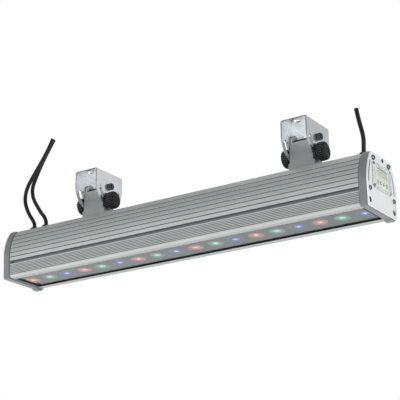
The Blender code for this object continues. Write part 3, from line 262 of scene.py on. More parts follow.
@dataclass(frozen=True)
class PaintedLight(Finish):
    """A finish with a second tone by the mesh's share: painted shade in grooves, a painted highlight, a
    painted reflection.
    """

    painted_tone: str = "#767b7c"
    painted_reach: tuple[float, float] = (0.3, 0.9)

    def shaded(self, tree: bpy.types.NodeTree, colour: bpy.types.NodeSocket) -> bpy.types.NodeSocket:
        """Mix in the tone of the painted light, by the share that the mesh carries.

        Args:
            tree: The material's tree.
            colour: The colour's output, as the textures leave it.

        Returns:
            The mixed colour's output.
        """
        depth = add_node(tree, "ShaderNodeAttribute", attribute_name=DEPTH)
        share = add_node(tree, "ShaderNodeMapRange", {
            "Value": depth.outputs["Fac"],
            "From Min": self.painted_reach[0], "From Max": self.painted_reach[1],
        })
        mixed = add_node(tree, "ShaderNodeMix", {
            0: share.outputs["Result"], 6: colour, 7: linear(self.painted_tone),
        }, data_type="RGBA")
        return mixed.outputs[2]


@dataclass(frozen=True)
class Plated(Finish):
    """Zinc-plated sheet: crystals of zinc give the bright metal its cloudy, mottled look.

    The crystals and the ripple that bends their edges are sized in millimetres.
    """

    crystal: float = 14.0
    ripple: float = 6.0
    ripple_share: float = 0.012
    fine_share: float = 0.08

    def texture(self, tree: bpy.types.NodeTree, place: bpy.types.NodeSocket) -> bpy.types.NodeSocket:
        """Soft-edged crystals with the fine grain laid over them.

        Args:
            tree: The material's tree.
            place: The point on the object, as a vector's output.

        Returns:
            The texture's output.
        """
        warp = add_node(tree, "ShaderNodeTexNoise", {
            "Vector": place, "Scale": 1 / (self.ripple * MM), "Detail": 2.0,
        })
        moved = add_node(tree, "ShaderNodeMix", {
            0: self.ripple_share, 4: place, 5: warp.outputs["Color"],
        }, data_type="VECTOR")
        cells = add_node(tree, "ShaderNodeTexVoronoi", {
            "Vector": moved.outputs[1], "Scale": 1 / (self.crystal * MM), "Smoothness": 0.6,
        }, feature="SMOOTH_F1")
        fine = add_node(tree, "ShaderNodeTexNoise", {
            "Vector": place, "Scale": 1 / (self.grain * MM), "Detail": 3.0,
        })
        both = add_node(tree, "ShaderNodeMix", {
            0: self.fine_share, 2: cells.outputs["Distance"], 3: fine.outputs["Fac"],
        })
        return both.outputs[0]


@dataclass(frozen=True)
class Lit(Finish):
    """Tinted acrylic with an LED's light in it, palest in the middle and fading at the rim."""

    glow: float = 0.3
    core_tone: str = "#ffffff"
    rim_tone: str = "#7a7f7e"
    core_reach: tuple[float, float] = (0.18, 0.7)
    rim_reach: tuple[float, float] = (0.82, 1.0)

    def shaded(self, tree: bpy.types.NodeTree, colour: bpy.types.NodeSocket) -> bpy.types.NodeSocket:
        """Change the colour by the distance from the lens's middle, which the mesh carries.

        Args:
            tree: The material's tree.
            colour: The colour's output, as the textures leave it.

        Returns:
            The mixed colour's output.
        """
        reach = add_node(tree, "ShaderNodeAttribute", attribute_name=DEPTH).outputs["Fac"]
        inner = add_node(tree, "ShaderNodeMapRange", {
            "Value": reach, "From Min": self.core_reach[0], "From Max": self.core_reach[1],
        }, interpolation_type="SMOOTHSTEP")
        outer = add_node(tree, "ShaderNodeMapRange", {
            "Value": reach, "From Min": self.rim_reach[0], "From Max": self.rim_reach[1],
        }, interpolation_type="SMOOTHSTEP")
        middle = add_node(tree, "ShaderNodeMix", {
            0: inner.outputs["Result"], 6: linear(self.core_tone), 7: colour,
        }, data_type="RGBA")
        whole = add_node(tree, "ShaderNodeMix", {
            0: outer.outputs["Result"], 6: middle.outputs[2], 7: linear(self.rim_tone),
        }, data_type="RGBA")
        return whole.outputs[2]

    def extras(self, colour: bpy.types.NodeSocket) -> dict[str, Any]:
        """The light that the acrylic gives off."""
        return {"Emission Color": colour, "Emission Strength": self.glow}


@dataclass(frozen=True)
class Clear(Finish):
    """Glass or clear plastic, which lets the lamps through."""

    passing: float = 0.92

    def shader(self, tree: bpy.types.NodeTree) -> bpy.types.NodeSocket:
        """A clear body where a seen ray enters, and an open one where it leaves and for the lamps' rays.

        Args:
            tree: The material's empty tree.

        Returns:
            The shader's output.
        """
        body = add_node(tree, "ShaderNodeBsdfPrincipled", {
            "Base Color": linear(self.tone), "Roughness": self.roughness, "IOR": self.ior,
            "Transmission Weight": 1.0,
        })
        way_out = add_node(tree, "ShaderNodeNewGeometry").outputs["Backfacing"]
        lamp_ray = add_node(tree, "ShaderNodeLightPath").outputs["Is Shadow Ray"]
        either = add_node(tree, "ShaderNodeMath", {0: way_out, 1: lamp_ray}, operation="MAXIMUM")
        open_way = add_node(tree, "ShaderNodeBsdfTransparent", {
            "Color": (self.passing, self.passing, self.passing, 1.0),
        })
        mixed = add_node(tree, "ShaderNodeMixShader", {
            0: either.outputs[0], 1: body.outputs["BSDF"], 2: open_way.outputs["BSDF"],
        })
        return mixed.outputs["Shader"]


# Extruded and satin anodised: the die leaves lines along the bar, and the oxide gives an even sheen
# The grooves between its fins and ribs get a painted shade, darker by their depth
ANODISED = PaintedLight(
    "anodised_aluminium_extruded", "#bcc0bf", "#aeb2b1", grain=0.9, roughness=0.44,
    roughness_spread=0.06, metallic=0.75, relief=0.02, stretch=(0.02, 1.0, 1.0),
)
# Pressure cast, shot blasted and painted grey: satin, with a fine even grain
CAST_PAINTED = Finish(
    "painted_aluminium_cast", "#7b8081", "#717677", grain=0.5, roughness=0.34, metallic=0.12, sheen=0.6,
    relief=0.015,
)
# Pressed from sheet and left bright: near white under soft light, with faint rolling marks
PRESSED_PLATE = Finish(
    "bright_aluminium_pressed", "#f1f2f4", "#e4e6e9", grain=0.7, roughness=0.36, metallic=0.5, relief=0.015,
    stretch=(1.0, 0.05, 1.0),
)
# Bright zinc on rolled steel: glossy, clouded by its crystals
ZINC_SHEET = Plated(
    "zinc_plated_steel_sheet", "#fafbfc", "#dde2e5", grain=1.1, roughness=0.24, roughness_spread=0.04,
    metallic=1.0, cloud=26.0, cloud_share=0.65,
)
# The sheared edge of the same sheet: bare, darker and rougher
SHEARED_EDGE = Finish(
    "steel_sheet_sheared_edge", "#8f9497", "#7c8285", grain=0.4, roughness=0.42, metallic=0.9, relief=0.03,
)
# Folded sheet with a dull grey passivated skin, with a painted reflection lighter towards the top of its front
DULL_SHEET = PaintedLight(
    "passivated_steel_sheet", "#969a99", "#8a8e8d", grain=0.8, roughness=0.33, metallic=0.75, relief=0.015,
    cloud=14.0, cloud_share=0.5, painted_tone="#bcbfbe", painted_reach=(0.0, 1.0),
)
# Cold-headed screws with a thin bright zinc skin
SCREW_ZINC = Finish(
    "zinc_plated_screw_steel", "#777d7f", "#5c6264", grain=0.35, roughness=0.24, metallic=1.0,
)
# Blackened steel of the pivots
BLACK_STEEL = Finish(
    "blackened_steel_turned", "#4d5254", "#35393b", grain=0.5, roughness=0.34, metallic=0.7,
)
# Glass-filled nylon, moulded: charcoal with a soft sheen and a fine spark texture
MOULDED_NYLON = Finish(
    "black_nylon_moulded", "#101213", "#0a0b0c", grain=0.35, roughness=0.26, ior=1.53, sheen=0.17,
    relief=0.02,
)
# The same nylon on the knobs, with a painted highlight on the face's ring and the crests of the flutes
GRIP_NYLON = PaintedLight(
    "black_nylon_knob_moulded", "#101213", "#0a0b0c", grain=0.35, roughness=0.22, ior=1.53, sheen=0.17,
    relief=0.02, painted_tone="#53585a", painted_reach=(0.0, 1.0),
)
# Pressed rubber of the gaskets and the window's seal
PRESSED_RUBBER = Finish(
    "black_rubber_pressed", "#161819", "#0f1011", grain=0.5, roughness=0.7, ior=1.52, sheen=0.3,
)
# Extruded cable jacket: matt black with a faint waxy sheen
JACKET = Finish(
    "black_rubber_cable_jacket", "#121414", "#0c0d0d", grain=0.6, roughness=0.45, ior=1.52, sheen=0.25,
    relief=0.02,
)
# Grey silicone between the bar and its caps
GREY_SILICONE = Finish(
    "grey_silicone_pressed", "#9b9f9e", "#8e9291", grain=0.5, roughness=0.65, ior=1.41,
)
# Milky silicone under the clear cover, which looks nearly as pale as the plate
PALE_SILICONE = Finish(
    "milky_silicone_pressed", "#b3b6b7", "#a5a8a9", grain=0.5, roughness=0.6, ior=1.41,
)
# Drawn copper strands at a cable's cut end
COPPER = Finish("drawn_copper_wire", "#c98a5e", "#a86c42", grain=0.2, roughness=0.35, metallic=1.0)
# The cores' own insulation at the cut end
CORE_SLEEVE = Finish("cable_core_insulation", "#c9cbc8", "#b5b7b3", grain=0.3, roughness=0.5, ior=1.52)
# Grey ABS of the tray that carries the lenses
TRAY = Finish(
    "grey_abs_moulded", "#424a4c", "#3b4345", grain=0.5, roughness=0.5, ior=1.54, relief=0.02,
)
# Toughened float glass with the faint green of its iron
FLOAT_GLASS = Clear(
    "toughened_float_glass", "#e9f1f0", "#e9f1f0", grain=1.0, roughness=0.015, ior=1.52,
)
# Moulded polycarbonate of the cover on the right end
POLYCARBONATE = Clear(
    "clear_polycarbonate_moulded", "#eceeed", "#eceeed", grain=1.0, roughness=0.03, ior=1.58,
)
# White solder mask on the LEDs' aluminium board
WHITE_MASK = Finish("white_solder_mask", "#e4e5e0", "#d9dad4", grain=0.4, roughness=0.42, ior=1.5)
# Green solder mask on the driver's and the controls' glass-fibre boards
GREEN_MASK = Finish("green_solder_mask", "#1f5a3c", "#184a30", grain=0.4, roughness=0.35, ior=1.5)
# Perforated and painted steel case of the power supply
SUPPLY_CASE = Finish(
    "painted_steel_case", "#9fa3a2", "#8f9392", grain=0.6, roughness=0.45, metallic=0.5,
)
# Moulded light grey face of the control panel
PANEL = Finish(
    "light_grey_panel_moulded", "#bfc3be", "#aeb2ad", grain=0.4, roughness=0.45, ior=1.5, cloud=9.0,
)
# Smoked acrylic in front of the display's segments
SMOKED = Finish("smoked_acrylic_window", "#a3a9a2", "#999f98", grain=0.8, roughness=0.12, ior=1.49)
# Silicone keys
KEYS = Finish("grey_silicone_keys", "#969c97", "#8b918c", grain=0.4, roughness=0.6, ior=1.41)


def lens_finish(hue: Hue) -> Lit:
    """The tinted acrylic of one colour of lens.

    Args:
        hue: The colour.

    Returns:
        The finish.
    """
    return Lit(
        f"{hue.word}_acrylic_lens", hue.tint, hue.tint, grain=2.0, roughness=0.14, ior=1.49,
        glow=0.13, core_tone=hue.core,
    )


def core_finish(hue: Hue) -> Lit:
    """The bright core of one colour of lens, where the LED's light leaves it.

    Args:
        hue: The colour.

    Returns:
        The finish.
    """
    return Lit(
        f"{hue.word}_lens_core", hue.core, hue.core, grain=2.0, roughness=0.08, ior=1.49, glow=0.28,
        core_tone="#ffffff", rim_tone=hue.core, core_reach=(0.05, 0.5),
    )


def dress(name: str, finish: Finish) -> bpy.types.Object:
    """Give a solid that stays as it is its finish.

    Args:
        name: The node's name.
        finish: Its surface.

    Returns:
        The node's object.
    """
    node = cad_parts[name]
    node.data.materials.clear()
    node.data.materials.append(finish.material())
    log.info("dressed %s", name)
    return node


def settle(
    piece: bpy.types.Object, body: str, stands_for: Sequence[str] = ()
) -> bpy.types.Object:
    """Tie a finished piece to the frame.

    Args:
        piece: The piece, at the origin and unturned.
        body: The body that it moves with.
        stands_for: The nodes that it replaces.

    Returns:
        The piece.
    """
    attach(piece, body)
    if stands_for:
        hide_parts(*stands_for)
    log.info("%s: %d faces on %s", piece.name, len(piece.data.polygons), body)
    return piece


def mesh_object(name: str, verts: Sequence[Any], faces: Sequence[Any] = ()) -> bpy.types.Object:
    """A new mesh object in the scene, at the origin.

    Args:
        name: The object's name.
        verts: Its points.
        faces: Its faces, as numbers of points.

    Returns:
        The object.
    """
    mesh = bpy.data.meshes.new(name)
    mesh.from_pydata([tuple(v) for v in verts], [], [tuple(f) for f in faces])
    made = bpy.data.objects.new(name, mesh)
    bpy.context.scene.collection.objects.link(made)
    return made


def plain(item: bpy.types.Object) -> bpy.types.Object:
    """Turn an object's modifiers into its own plain mesh.

    Args:
        item: The object.

    Returns:
        The same object.
    """
    bpy.context.view_layer.update()
    graph = bpy.context.evaluated_depsgraph_get()
    mesh = bpy.data.meshes.new_from_object(
        item.evaluated_get(graph), preserve_all_data_layers=True, depsgraph=graph
    )
    mesh.name = item.name
    item.modifiers.clear()
    item.data = mesh
    return item


def merged(node: str) -> bmesh.types.BMesh:
    """A solid's mesh with its loose triangles joined and its flat faces whole again.

    Args:
        node: The solid's node.

    Returns:
        A mesh that its caller frees.
    """
    made = bmesh.new()
    made.from_mesh(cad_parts[node].data)
    bmesh.ops.remove_doubles(made, verts=made.verts, dist=SAME_POINT)
    bmesh.ops.dissolve_limit(made, angle_limit=radians(SAME_FACE), verts=made.verts, edges=made.edges)
    return made


def softened(
    node: str, name: str, width: float, finish: Finish, corner: float = 35.0
) -> bpy.types.Object:
    """A copy of a solid with its sharp edges rounded, so that they catch the light.

    Args:
        node: The solid's node.
        name: The new piece's name.
        width: How wide the rounding is.
        finish: The surface.
        corner: The least angle of an edge that is rounded, in degrees.

    Returns:
        The new piece.
    """
    made = mesh_object(name, [])
    shape = merged(node)
    shape.to_mesh(made.data)
    shape.free()
    made.data.materials.append(finish.material())
    bevel = made.modifiers.new("edges", "BEVEL")
    bevel.width = width
    bevel.segments = ROUNDING_STEPS
    bevel.limit_method = "ANGLE"
    bevel.angle_limit = radians(corner)
    bevel.use_clamp_overlap = True
    plain(made)
    return smoothed(made, corner)


def smoothed(item: bpy.types.Object, corner: float = 40.0) -> bpy.types.Object:
    """Shade a piece smooth up to its corners, with its large flat faces kept flat.

    Args:
        item: The piece.
        corner: The least angle of an edge that stays sharp, in degrees.

    Returns:
        The same piece.
    """
    item.data.shade_smooth()
    item.data.set_sharp_from_angle(angle=radians(corner))
    weighted = item.modifiers.new("flats", "WEIGHTED_NORMAL")
    weighted.keep_sharp = True
    weighted.weight = 80
    return plain(item)


def carry(item: bpy.types.Object, shares: Sequence[float]) -> bpy.types.Object:
    """Store one share for each point of a mesh, for the finishes that read it."""
    item.data.attributes.new(DEPTH, "FLOAT", "POINT").data.foreach_set("value", shares)
    return item


def carry_reach(item: bpy.types.Object, radius: float) -> bpy.types.Object:
    """Store each point's distance from the Z axis, as a share of a radius."""
    return carry(item, [min(v.co.xy.length / radius, 1.0) for v in item.data.vertices])


def lathe(name: str, profile: Sequence[Point], steps: int) -> bpy.types.Object:
    """Turn a profile of radius and height about +Z.

    Args:
        name: The object's name.
        profile: Points from one end of the axis to the other; a radius of zero closes an end.
        steps: Facets round the axis.

    Returns:
        A closed turned shape.
    """
    verts: list[Place] = []
    rings: list[list[int]] = []
    for radius, height in profile:
        turns = 1 if radius == 0 else steps
        rings.append([len(verts) + i for i in range(turns)])
        for i in range(turns):
            angle = 2 * pi * i / steps
            verts.append((radius * cos(angle), radius * sin(angle), height))
    faces = []
    for ring, after in zip(rings, rings[1:]):
        for i in range(steps):
            corners = (ring[i % len(ring)], ring[(i + 1) % len(ring)],
                       after[(i + 1) % len(after)], after[i % len(after)])
            faces.append(tuple(dict.fromkeys(corners)))
    made = mesh_object(name, verts, faces)
    shape = bmesh.new()
    shape.from_mesh(made.data)
    bmesh.ops.recalc_face_normals(shape, faces=shape.faces)
    shape.to_mesh(made.data)
    shape.free()
    return made


def outline_object(name: str, loops: Sequence[Sequence[Point]]) -> bpy.types.Object:
    """Closed flat outlines as one curve object, for the drawn tree.

    Args:
        name: The object's name.
        loops: The outlines' points.

    Returns:
        The object.
    """
    curve = bpy.data.curves.new(name, "CURVE")
    curve.dimensions = "3D"
    for loop in loops:
        spline = curve.splines.new("POLY")
        spline.points.add(len(loop) - 1)
        spline.points.foreach_set("co", [x for u, v in loop for x in (u, v, 0.0, 1.0)])
        spline.use_cyclic_u = True
    made = bpy.data.objects.new(name, curve)
    bpy.context.scene.collection.objects.link(made)
    return made


def circle(centre: Point, radius: float, steps: int) -> list[Point]:
    """The points of a circle."""
    turns = [2 * pi * i / steps for i in range(steps)]
    return [(centre[0] + radius * cos(t), centre[1] + radius * sin(t)) for t in turns]


class Tree:
    """A geometry tree with named inputs, run once for each piece that it makes."""

    def __init__(self, name: str, inputs: dict[str, str]) -> None:
        """Start the tree.

        Args:
            name: The tree's name.
            inputs: Each input's name and socket type.
        """
        self.group = bpy.data.node_groups.new(name, "GeometryNodeTree")
        self.keys = {}
        for label, kind in inputs.items():
            socket = self.group.interface.new_socket(label, in_out="INPUT", socket_type=kind)
            self.keys[label] = socket.identifier
        self.group.interface.new_socket("Geometry", in_out="OUTPUT", socket_type="NodeSocketGeometry")
        self.given = add_node(self.group, "NodeGroupInput").outputs

    def add(self, kind: str, inputs: dict[str | int, Any] | None = None, **settings: Any) -> bpy.types.Node:
        """Add a node to this tree, as add_node does."""
        return add_node(self.group, kind, inputs, **settings)

    def end(self, geometry: bpy.types.NodeSocket) -> "Tree":
        """Close the tree: every instance is made real, and the result gets its finish.

        Args:
            geometry: What the tree has made.

        Returns:
            The finished tree.
        """
        real = self.add("GeometryNodeRealizeInstances", {"Geometry": geometry})
        painted = self.add("GeometryNodeSetMaterial", {
            "Geometry": real.outputs["Geometry"], "Material": self.given["Finish"],
        })
        self.add("NodeGroupOutput", {0: painted.outputs["Geometry"]})
        return self

    def grow(self, name: str, finish: Finish, points: Sequence[Any] = (), **values: Any) -> bpy.types.Object:
        """Run the tree and keep its result as a plain mesh.

        Args:
            name: The new piece's name.
            finish: Its surface.
            points: The points that the tree starts from, where it takes any.
            values: The named inputs.

        Returns:
            The new piece.
        """
        made = mesh_object(name, points)
        modifier = made.modifiers.new("pattern", "NODES")
        modifier.node_group = self.group
        for label, value in {"Finish": finish.material(), **values}.items():
            modifier[self.keys[label]] = value
        plain(made)
        for value in values.values():
            if isinstance(value, bpy.types.Object):
                bpy.data.objects.remove(value)
        return made


def scatter_tree() -> Tree:
    """A tree that sets a copy of one piece on each point, turned to an axis and, at random, about it.

    Returns:
        The tree.
    """
    tree = Tree("set_on_points", {
        "Points": "NodeSocketGeometry", "Piece": "NodeSocketObject", "Turn": "NodeSocketVector",
        "Spin": "NodeSocketFloat", "Seed": "NodeSocketInt", "Finish": "NodeSocketMaterial",
    })
    given = tree.given
    piece = tree.add("GeometryNodeObjectInfo", {"Object": given["Piece"]}, transform_space="ORIGINAL")
    turn = tree.add("FunctionNodeEulerToRotation", {"Euler": given["Turn"]})
    placed = tree.add("GeometryNodeInstanceOnPoints", {
        "Points": given["Points"], "Instance": piece.outputs["Geometry"],
        "Rotation": turn.outputs["Rotation"],
    })
    chance = tree.add("FunctionNodeRandomValue", {
        "Max": given["Spin"], "Seed": given["Seed"],
    }, data_type="FLOAT")
    about = tree.add("ShaderNodeCombineXYZ", {"Z": chance.outputs[1]})
    spun = tree.add("FunctionNodeEulerToRotation", {"Euler": about.outputs["Vector"]})
    rotated = tree.add("GeometryNodeRotateInstances", {
        "Instances": placed.outputs["Instances"], "Rotation": spun.outputs["Rotation"], "Local Space": True,
    })
    return tree.end(rotated.outputs["Instances"])


def row_tree() -> Tree:
    """A tree that sets copies of one piece along a line at an even pitch.

    Returns:
        The tree.
    """
    tree = Tree("set_in_a_row", {
        "Piece": "NodeSocketObject", "Count": "NodeSocketInt", "Start": "NodeSocketVector",
        "Pitch": "NodeSocketVector", "Finish": "NodeSocketMaterial",
    })
    given = tree.given
    piece = tree.add("GeometryNodeObjectInfo", {"Object": given["Piece"]}, transform_space="ORIGINAL")
    line = tree.add("GeometryNodeMeshLine", {
        "Count": given["Count"], "Start Location": given["Start"], "Offset": given["Pitch"],
    }, mode="OFFSET")
    placed = tree.add("GeometryNodeInstanceOnPoints", {
        "Points": line.outputs["Mesh"], "Instance": piece.outputs["Geometry"],
    })
    return tree.end(placed.outputs["Instances"])


def drawn_tree() -> Tree:
    """A tree that rounds flat outlines, fills them and draws them out, then turns and places the result.

    Returns:
        The tree.
    """
    tree = Tree("draw_out", {
        "Outline": "NodeSocketObject", "Fillet": "NodeSocketFloat", "Length": "NodeSocketFloat",
        "Start": "NodeSocketVector", "Turn": "NodeSocketVector", "Finish": "NodeSocketMaterial",
    })
    given = tree.given
    outline = tree.add("GeometryNodeObjectInfo", {"Object": given["Outline"]}, transform_space="ORIGINAL")
    rounded = tree.add("GeometryNodeFilletCurve", {
        "Curve": outline.outputs["Geometry"], "Count": 3, "Radius": given["Fillet"], "Limit Radius": True,
    }, mode="POLY")
    flat = tree.add("GeometryNodeFillCurve", {"Curve": rounded.outputs["Curve"]}, mode="TRIANGLES")
    drawn = tree.add("GeometryNodeExtrudeMesh", {
        "Mesh": flat.outputs["Mesh"], "Offset": (0.0, 0.0, 1.0), "Offset Scale": given["Length"],
        "Individual": False,
    }, mode="FACES")
    under = tree.add("GeometryNodeFlipFaces", {"Mesh": flat.outputs["Mesh"]})
    joined = tree.add("GeometryNodeJoinGeometry")
    for part in (drawn.outputs["Mesh"], under.outputs["Mesh"]):
        tree.group.links.new(part, joined.inputs[0])
    whole = tree.add("GeometryNodeMergeByDistance", {
        "Geometry": joined.outputs[0], "Distance": SAME_POINT,
    })
    placed = tree.add("GeometryNodeTransform", {
        "Geometry": whole.outputs["Geometry"], "Translation": given["Start"], "Rotation": given["Turn"],
    })
    return tree.end(placed.outputs["Geometry"])


def grip_tree() -> Tree:
    """A tree that turns a profile whose rim is fluted; the flutes narrow with the radius.

    Returns:
        The tree.
    """
    tree = Tree("fluted_grip", {
        "Profile": "NodeSocketObject", "Flutes": "NodeSocketInt", "Depth": "NodeSocketFloat",
        "Start": "NodeSocketVector", "Turn": "NodeSocketVector", "Finish": "NodeSocketMaterial",
    })
    given = tree.given
    profile = tree.add("GeometryNodeObjectInfo", {"Object": given["Profile"]}, transform_space="ORIGINAL")
    count = tree.add("ShaderNodeMath", {
        0: given["Flutes"], 1: STEPS_PER_FLUTE,
    }, operation="MULTIPLY")
    rim = tree.add("GeometryNodeCurvePrimitiveCircle", {"Resolution": count.outputs[0], "Radius": 1.0})
    along = tree.add("GeometryNodeSplineParameter")
    turns = tree.add("ShaderNodeMath", {
        0: along.outputs["Factor"], 1: given["Flutes"],
    }, operation="MULTIPLY")
    angle = tree.add("ShaderNodeMath", {0: turns.outputs[0], 1: 2 * pi}, operation="MULTIPLY")
    wave = tree.add("ShaderNodeMath", {0: angle.outputs[0]}, operation="COSINE")
    sunk = tree.add("ShaderNodeMapRange", {
        "Value": wave.outputs[0], "From Min": FLUTE_SIDE[0], "From Max": FLUTE_SIDE[1],
        "To Min": given["Depth"], "To Max": 0.0,
    }, interpolation_type="SMOOTHSTEP")
    keep = tree.add("ShaderNodeMath", {0: 1.0, 1: sunk.outputs["Result"]}, operation="SUBTRACT")
    place = tree.add("GeometryNodeInputPosition")
    scaled = tree.add("ShaderNodeVectorMath", {
        0: place.outputs["Position"], "Scale": keep.outputs[0],
    }, operation="SCALE")
    fluted = tree.add("GeometryNodeSetPosition", {
        "Geometry": rim.outputs["Curve"], "Position": scaled.outputs["Vector"],
    })
    radius = tree.add("GeometryNodeInputRadius")
    turned = tree.add("GeometryNodeCurveToMesh", {
        "Curve": profile.outputs["Geometry"], "Profile Curve": fluted.outputs["Geometry"],
        "Scale": radius.outputs["Radius"], "Fill Caps": True,
    })
    placed = tree.add("GeometryNodeTransform", {
        "Geometry": turned.outputs["Mesh"], "Translation": given["Start"], "Rotation": given["Turn"],
    })
    return tree.end(placed.outputs["Geometry"])


def profile_object(name: str, profile: Sequence[Point]) -> bpy.types.Object:
    """A turned profile for the grip tree: an upright line whose points carry the radii.

    Args:
        name: The object's name.
        profile: Points of radius and height, from the foot up.

    Returns:
        The object.
    """
    curve = bpy.data.curves.new(name, "CURVE")
    curve.dimensions = "3D"
    spline = curve.splines.new("POLY")
    spline.points.add(len(profile) - 1)
    for point, (radius, height) in zip(spline.points, profile):
        point.co = (0.0, 0.0, height, 1.0)
        point.radius = radius
    made = bpy.data.objects.new(name, curve)
    bpy.context.scene.collection.objects.link(made)
    return made


def turn_to(axis: str) -> Place:
    """The turn that takes +Z to an axis, as Euler angles; the axis is named by its letter and sign.

    Args:
        axis: The axis's sign and letter.

    Returns:
        The three angles in radians.
    """
    quarter = pi / 2
    return {
        "+X": (0.0, quarter, 0.0), "-X": (0.0, -quarter, 0.0), "+Z": (0.0, 0.0, 0.0), "-Z": (pi, 0.0, 0.0),
    }[axis]


def end_loops(node: str) -> list[list[Point]]:
    """Trace the outlines of a drawn solid's end face at +X.

    Args:
        node: The solid's node.

    Returns:
        Closed loops of points across and up, the largest first.
    """
    shape = merged(node)
    end = max(v.co.x for v in shape.verts)
    cap = {f for f in shape.faces if all(end - v.co.x < 0.01 * MM for v in f.verts)}
    rim = [e for e in shape.edges if sum(f in cap for f in e.link_faces) == 1]
    after: dict[int, int] = {}
    for edge in rim:
        face = next(f for f in edge.link_faces if f in cap)
        corner = next(loop for loop in face.loops if loop.edge == edge)
        after[corner.vert.index] = corner.link_loop_next.vert.index
    shape.verts.ensure_lookup_table()
    loops = []
    while after:
        start, step = after.popitem()
        loop = [start]
        while step != start:
            loop.append(step)
            step = after.pop(step)
        loops.append([(shape.verts[i].co.y, shape.verts[i].co.z) for i in loop])
    shape.free()
    return sorted(loops, key=len, reverse=True)


@dataclass
class Camera:
    """The view that the photograph was taken from."""

    place: Place = (0.8427, -1.2429, -0.5837)
    right: Place = (0.82869, 0.55971, -0.00199)
    up: Place = (0.18516, -0.27078, 0.94466)
    ahead: Place = (-0.52820, 0.78320, 0.32803)
    lens: float = 119.62
    sensor: float = 36.0

    def build(self) -> None:
        """Make the camera and give it to the scene."""
        data = bpy.data.cameras.new("camera")
        data.lens = self.lens
        data.sensor_width = self.sensor
        made = bpy.data.objects.new("camera", data)
        axes = (self.right, self.up, tuple(-a for a in self.ahead))
        turn = Matrix([[axis[row] for axis in axes] for row in range(3)]).to_4x4()
        made.matrix_world = Matrix.Translation(self.place) @ turn
        bpy.context.scene.collection.objects.link(made)
        bpy.context.scene.camera = made


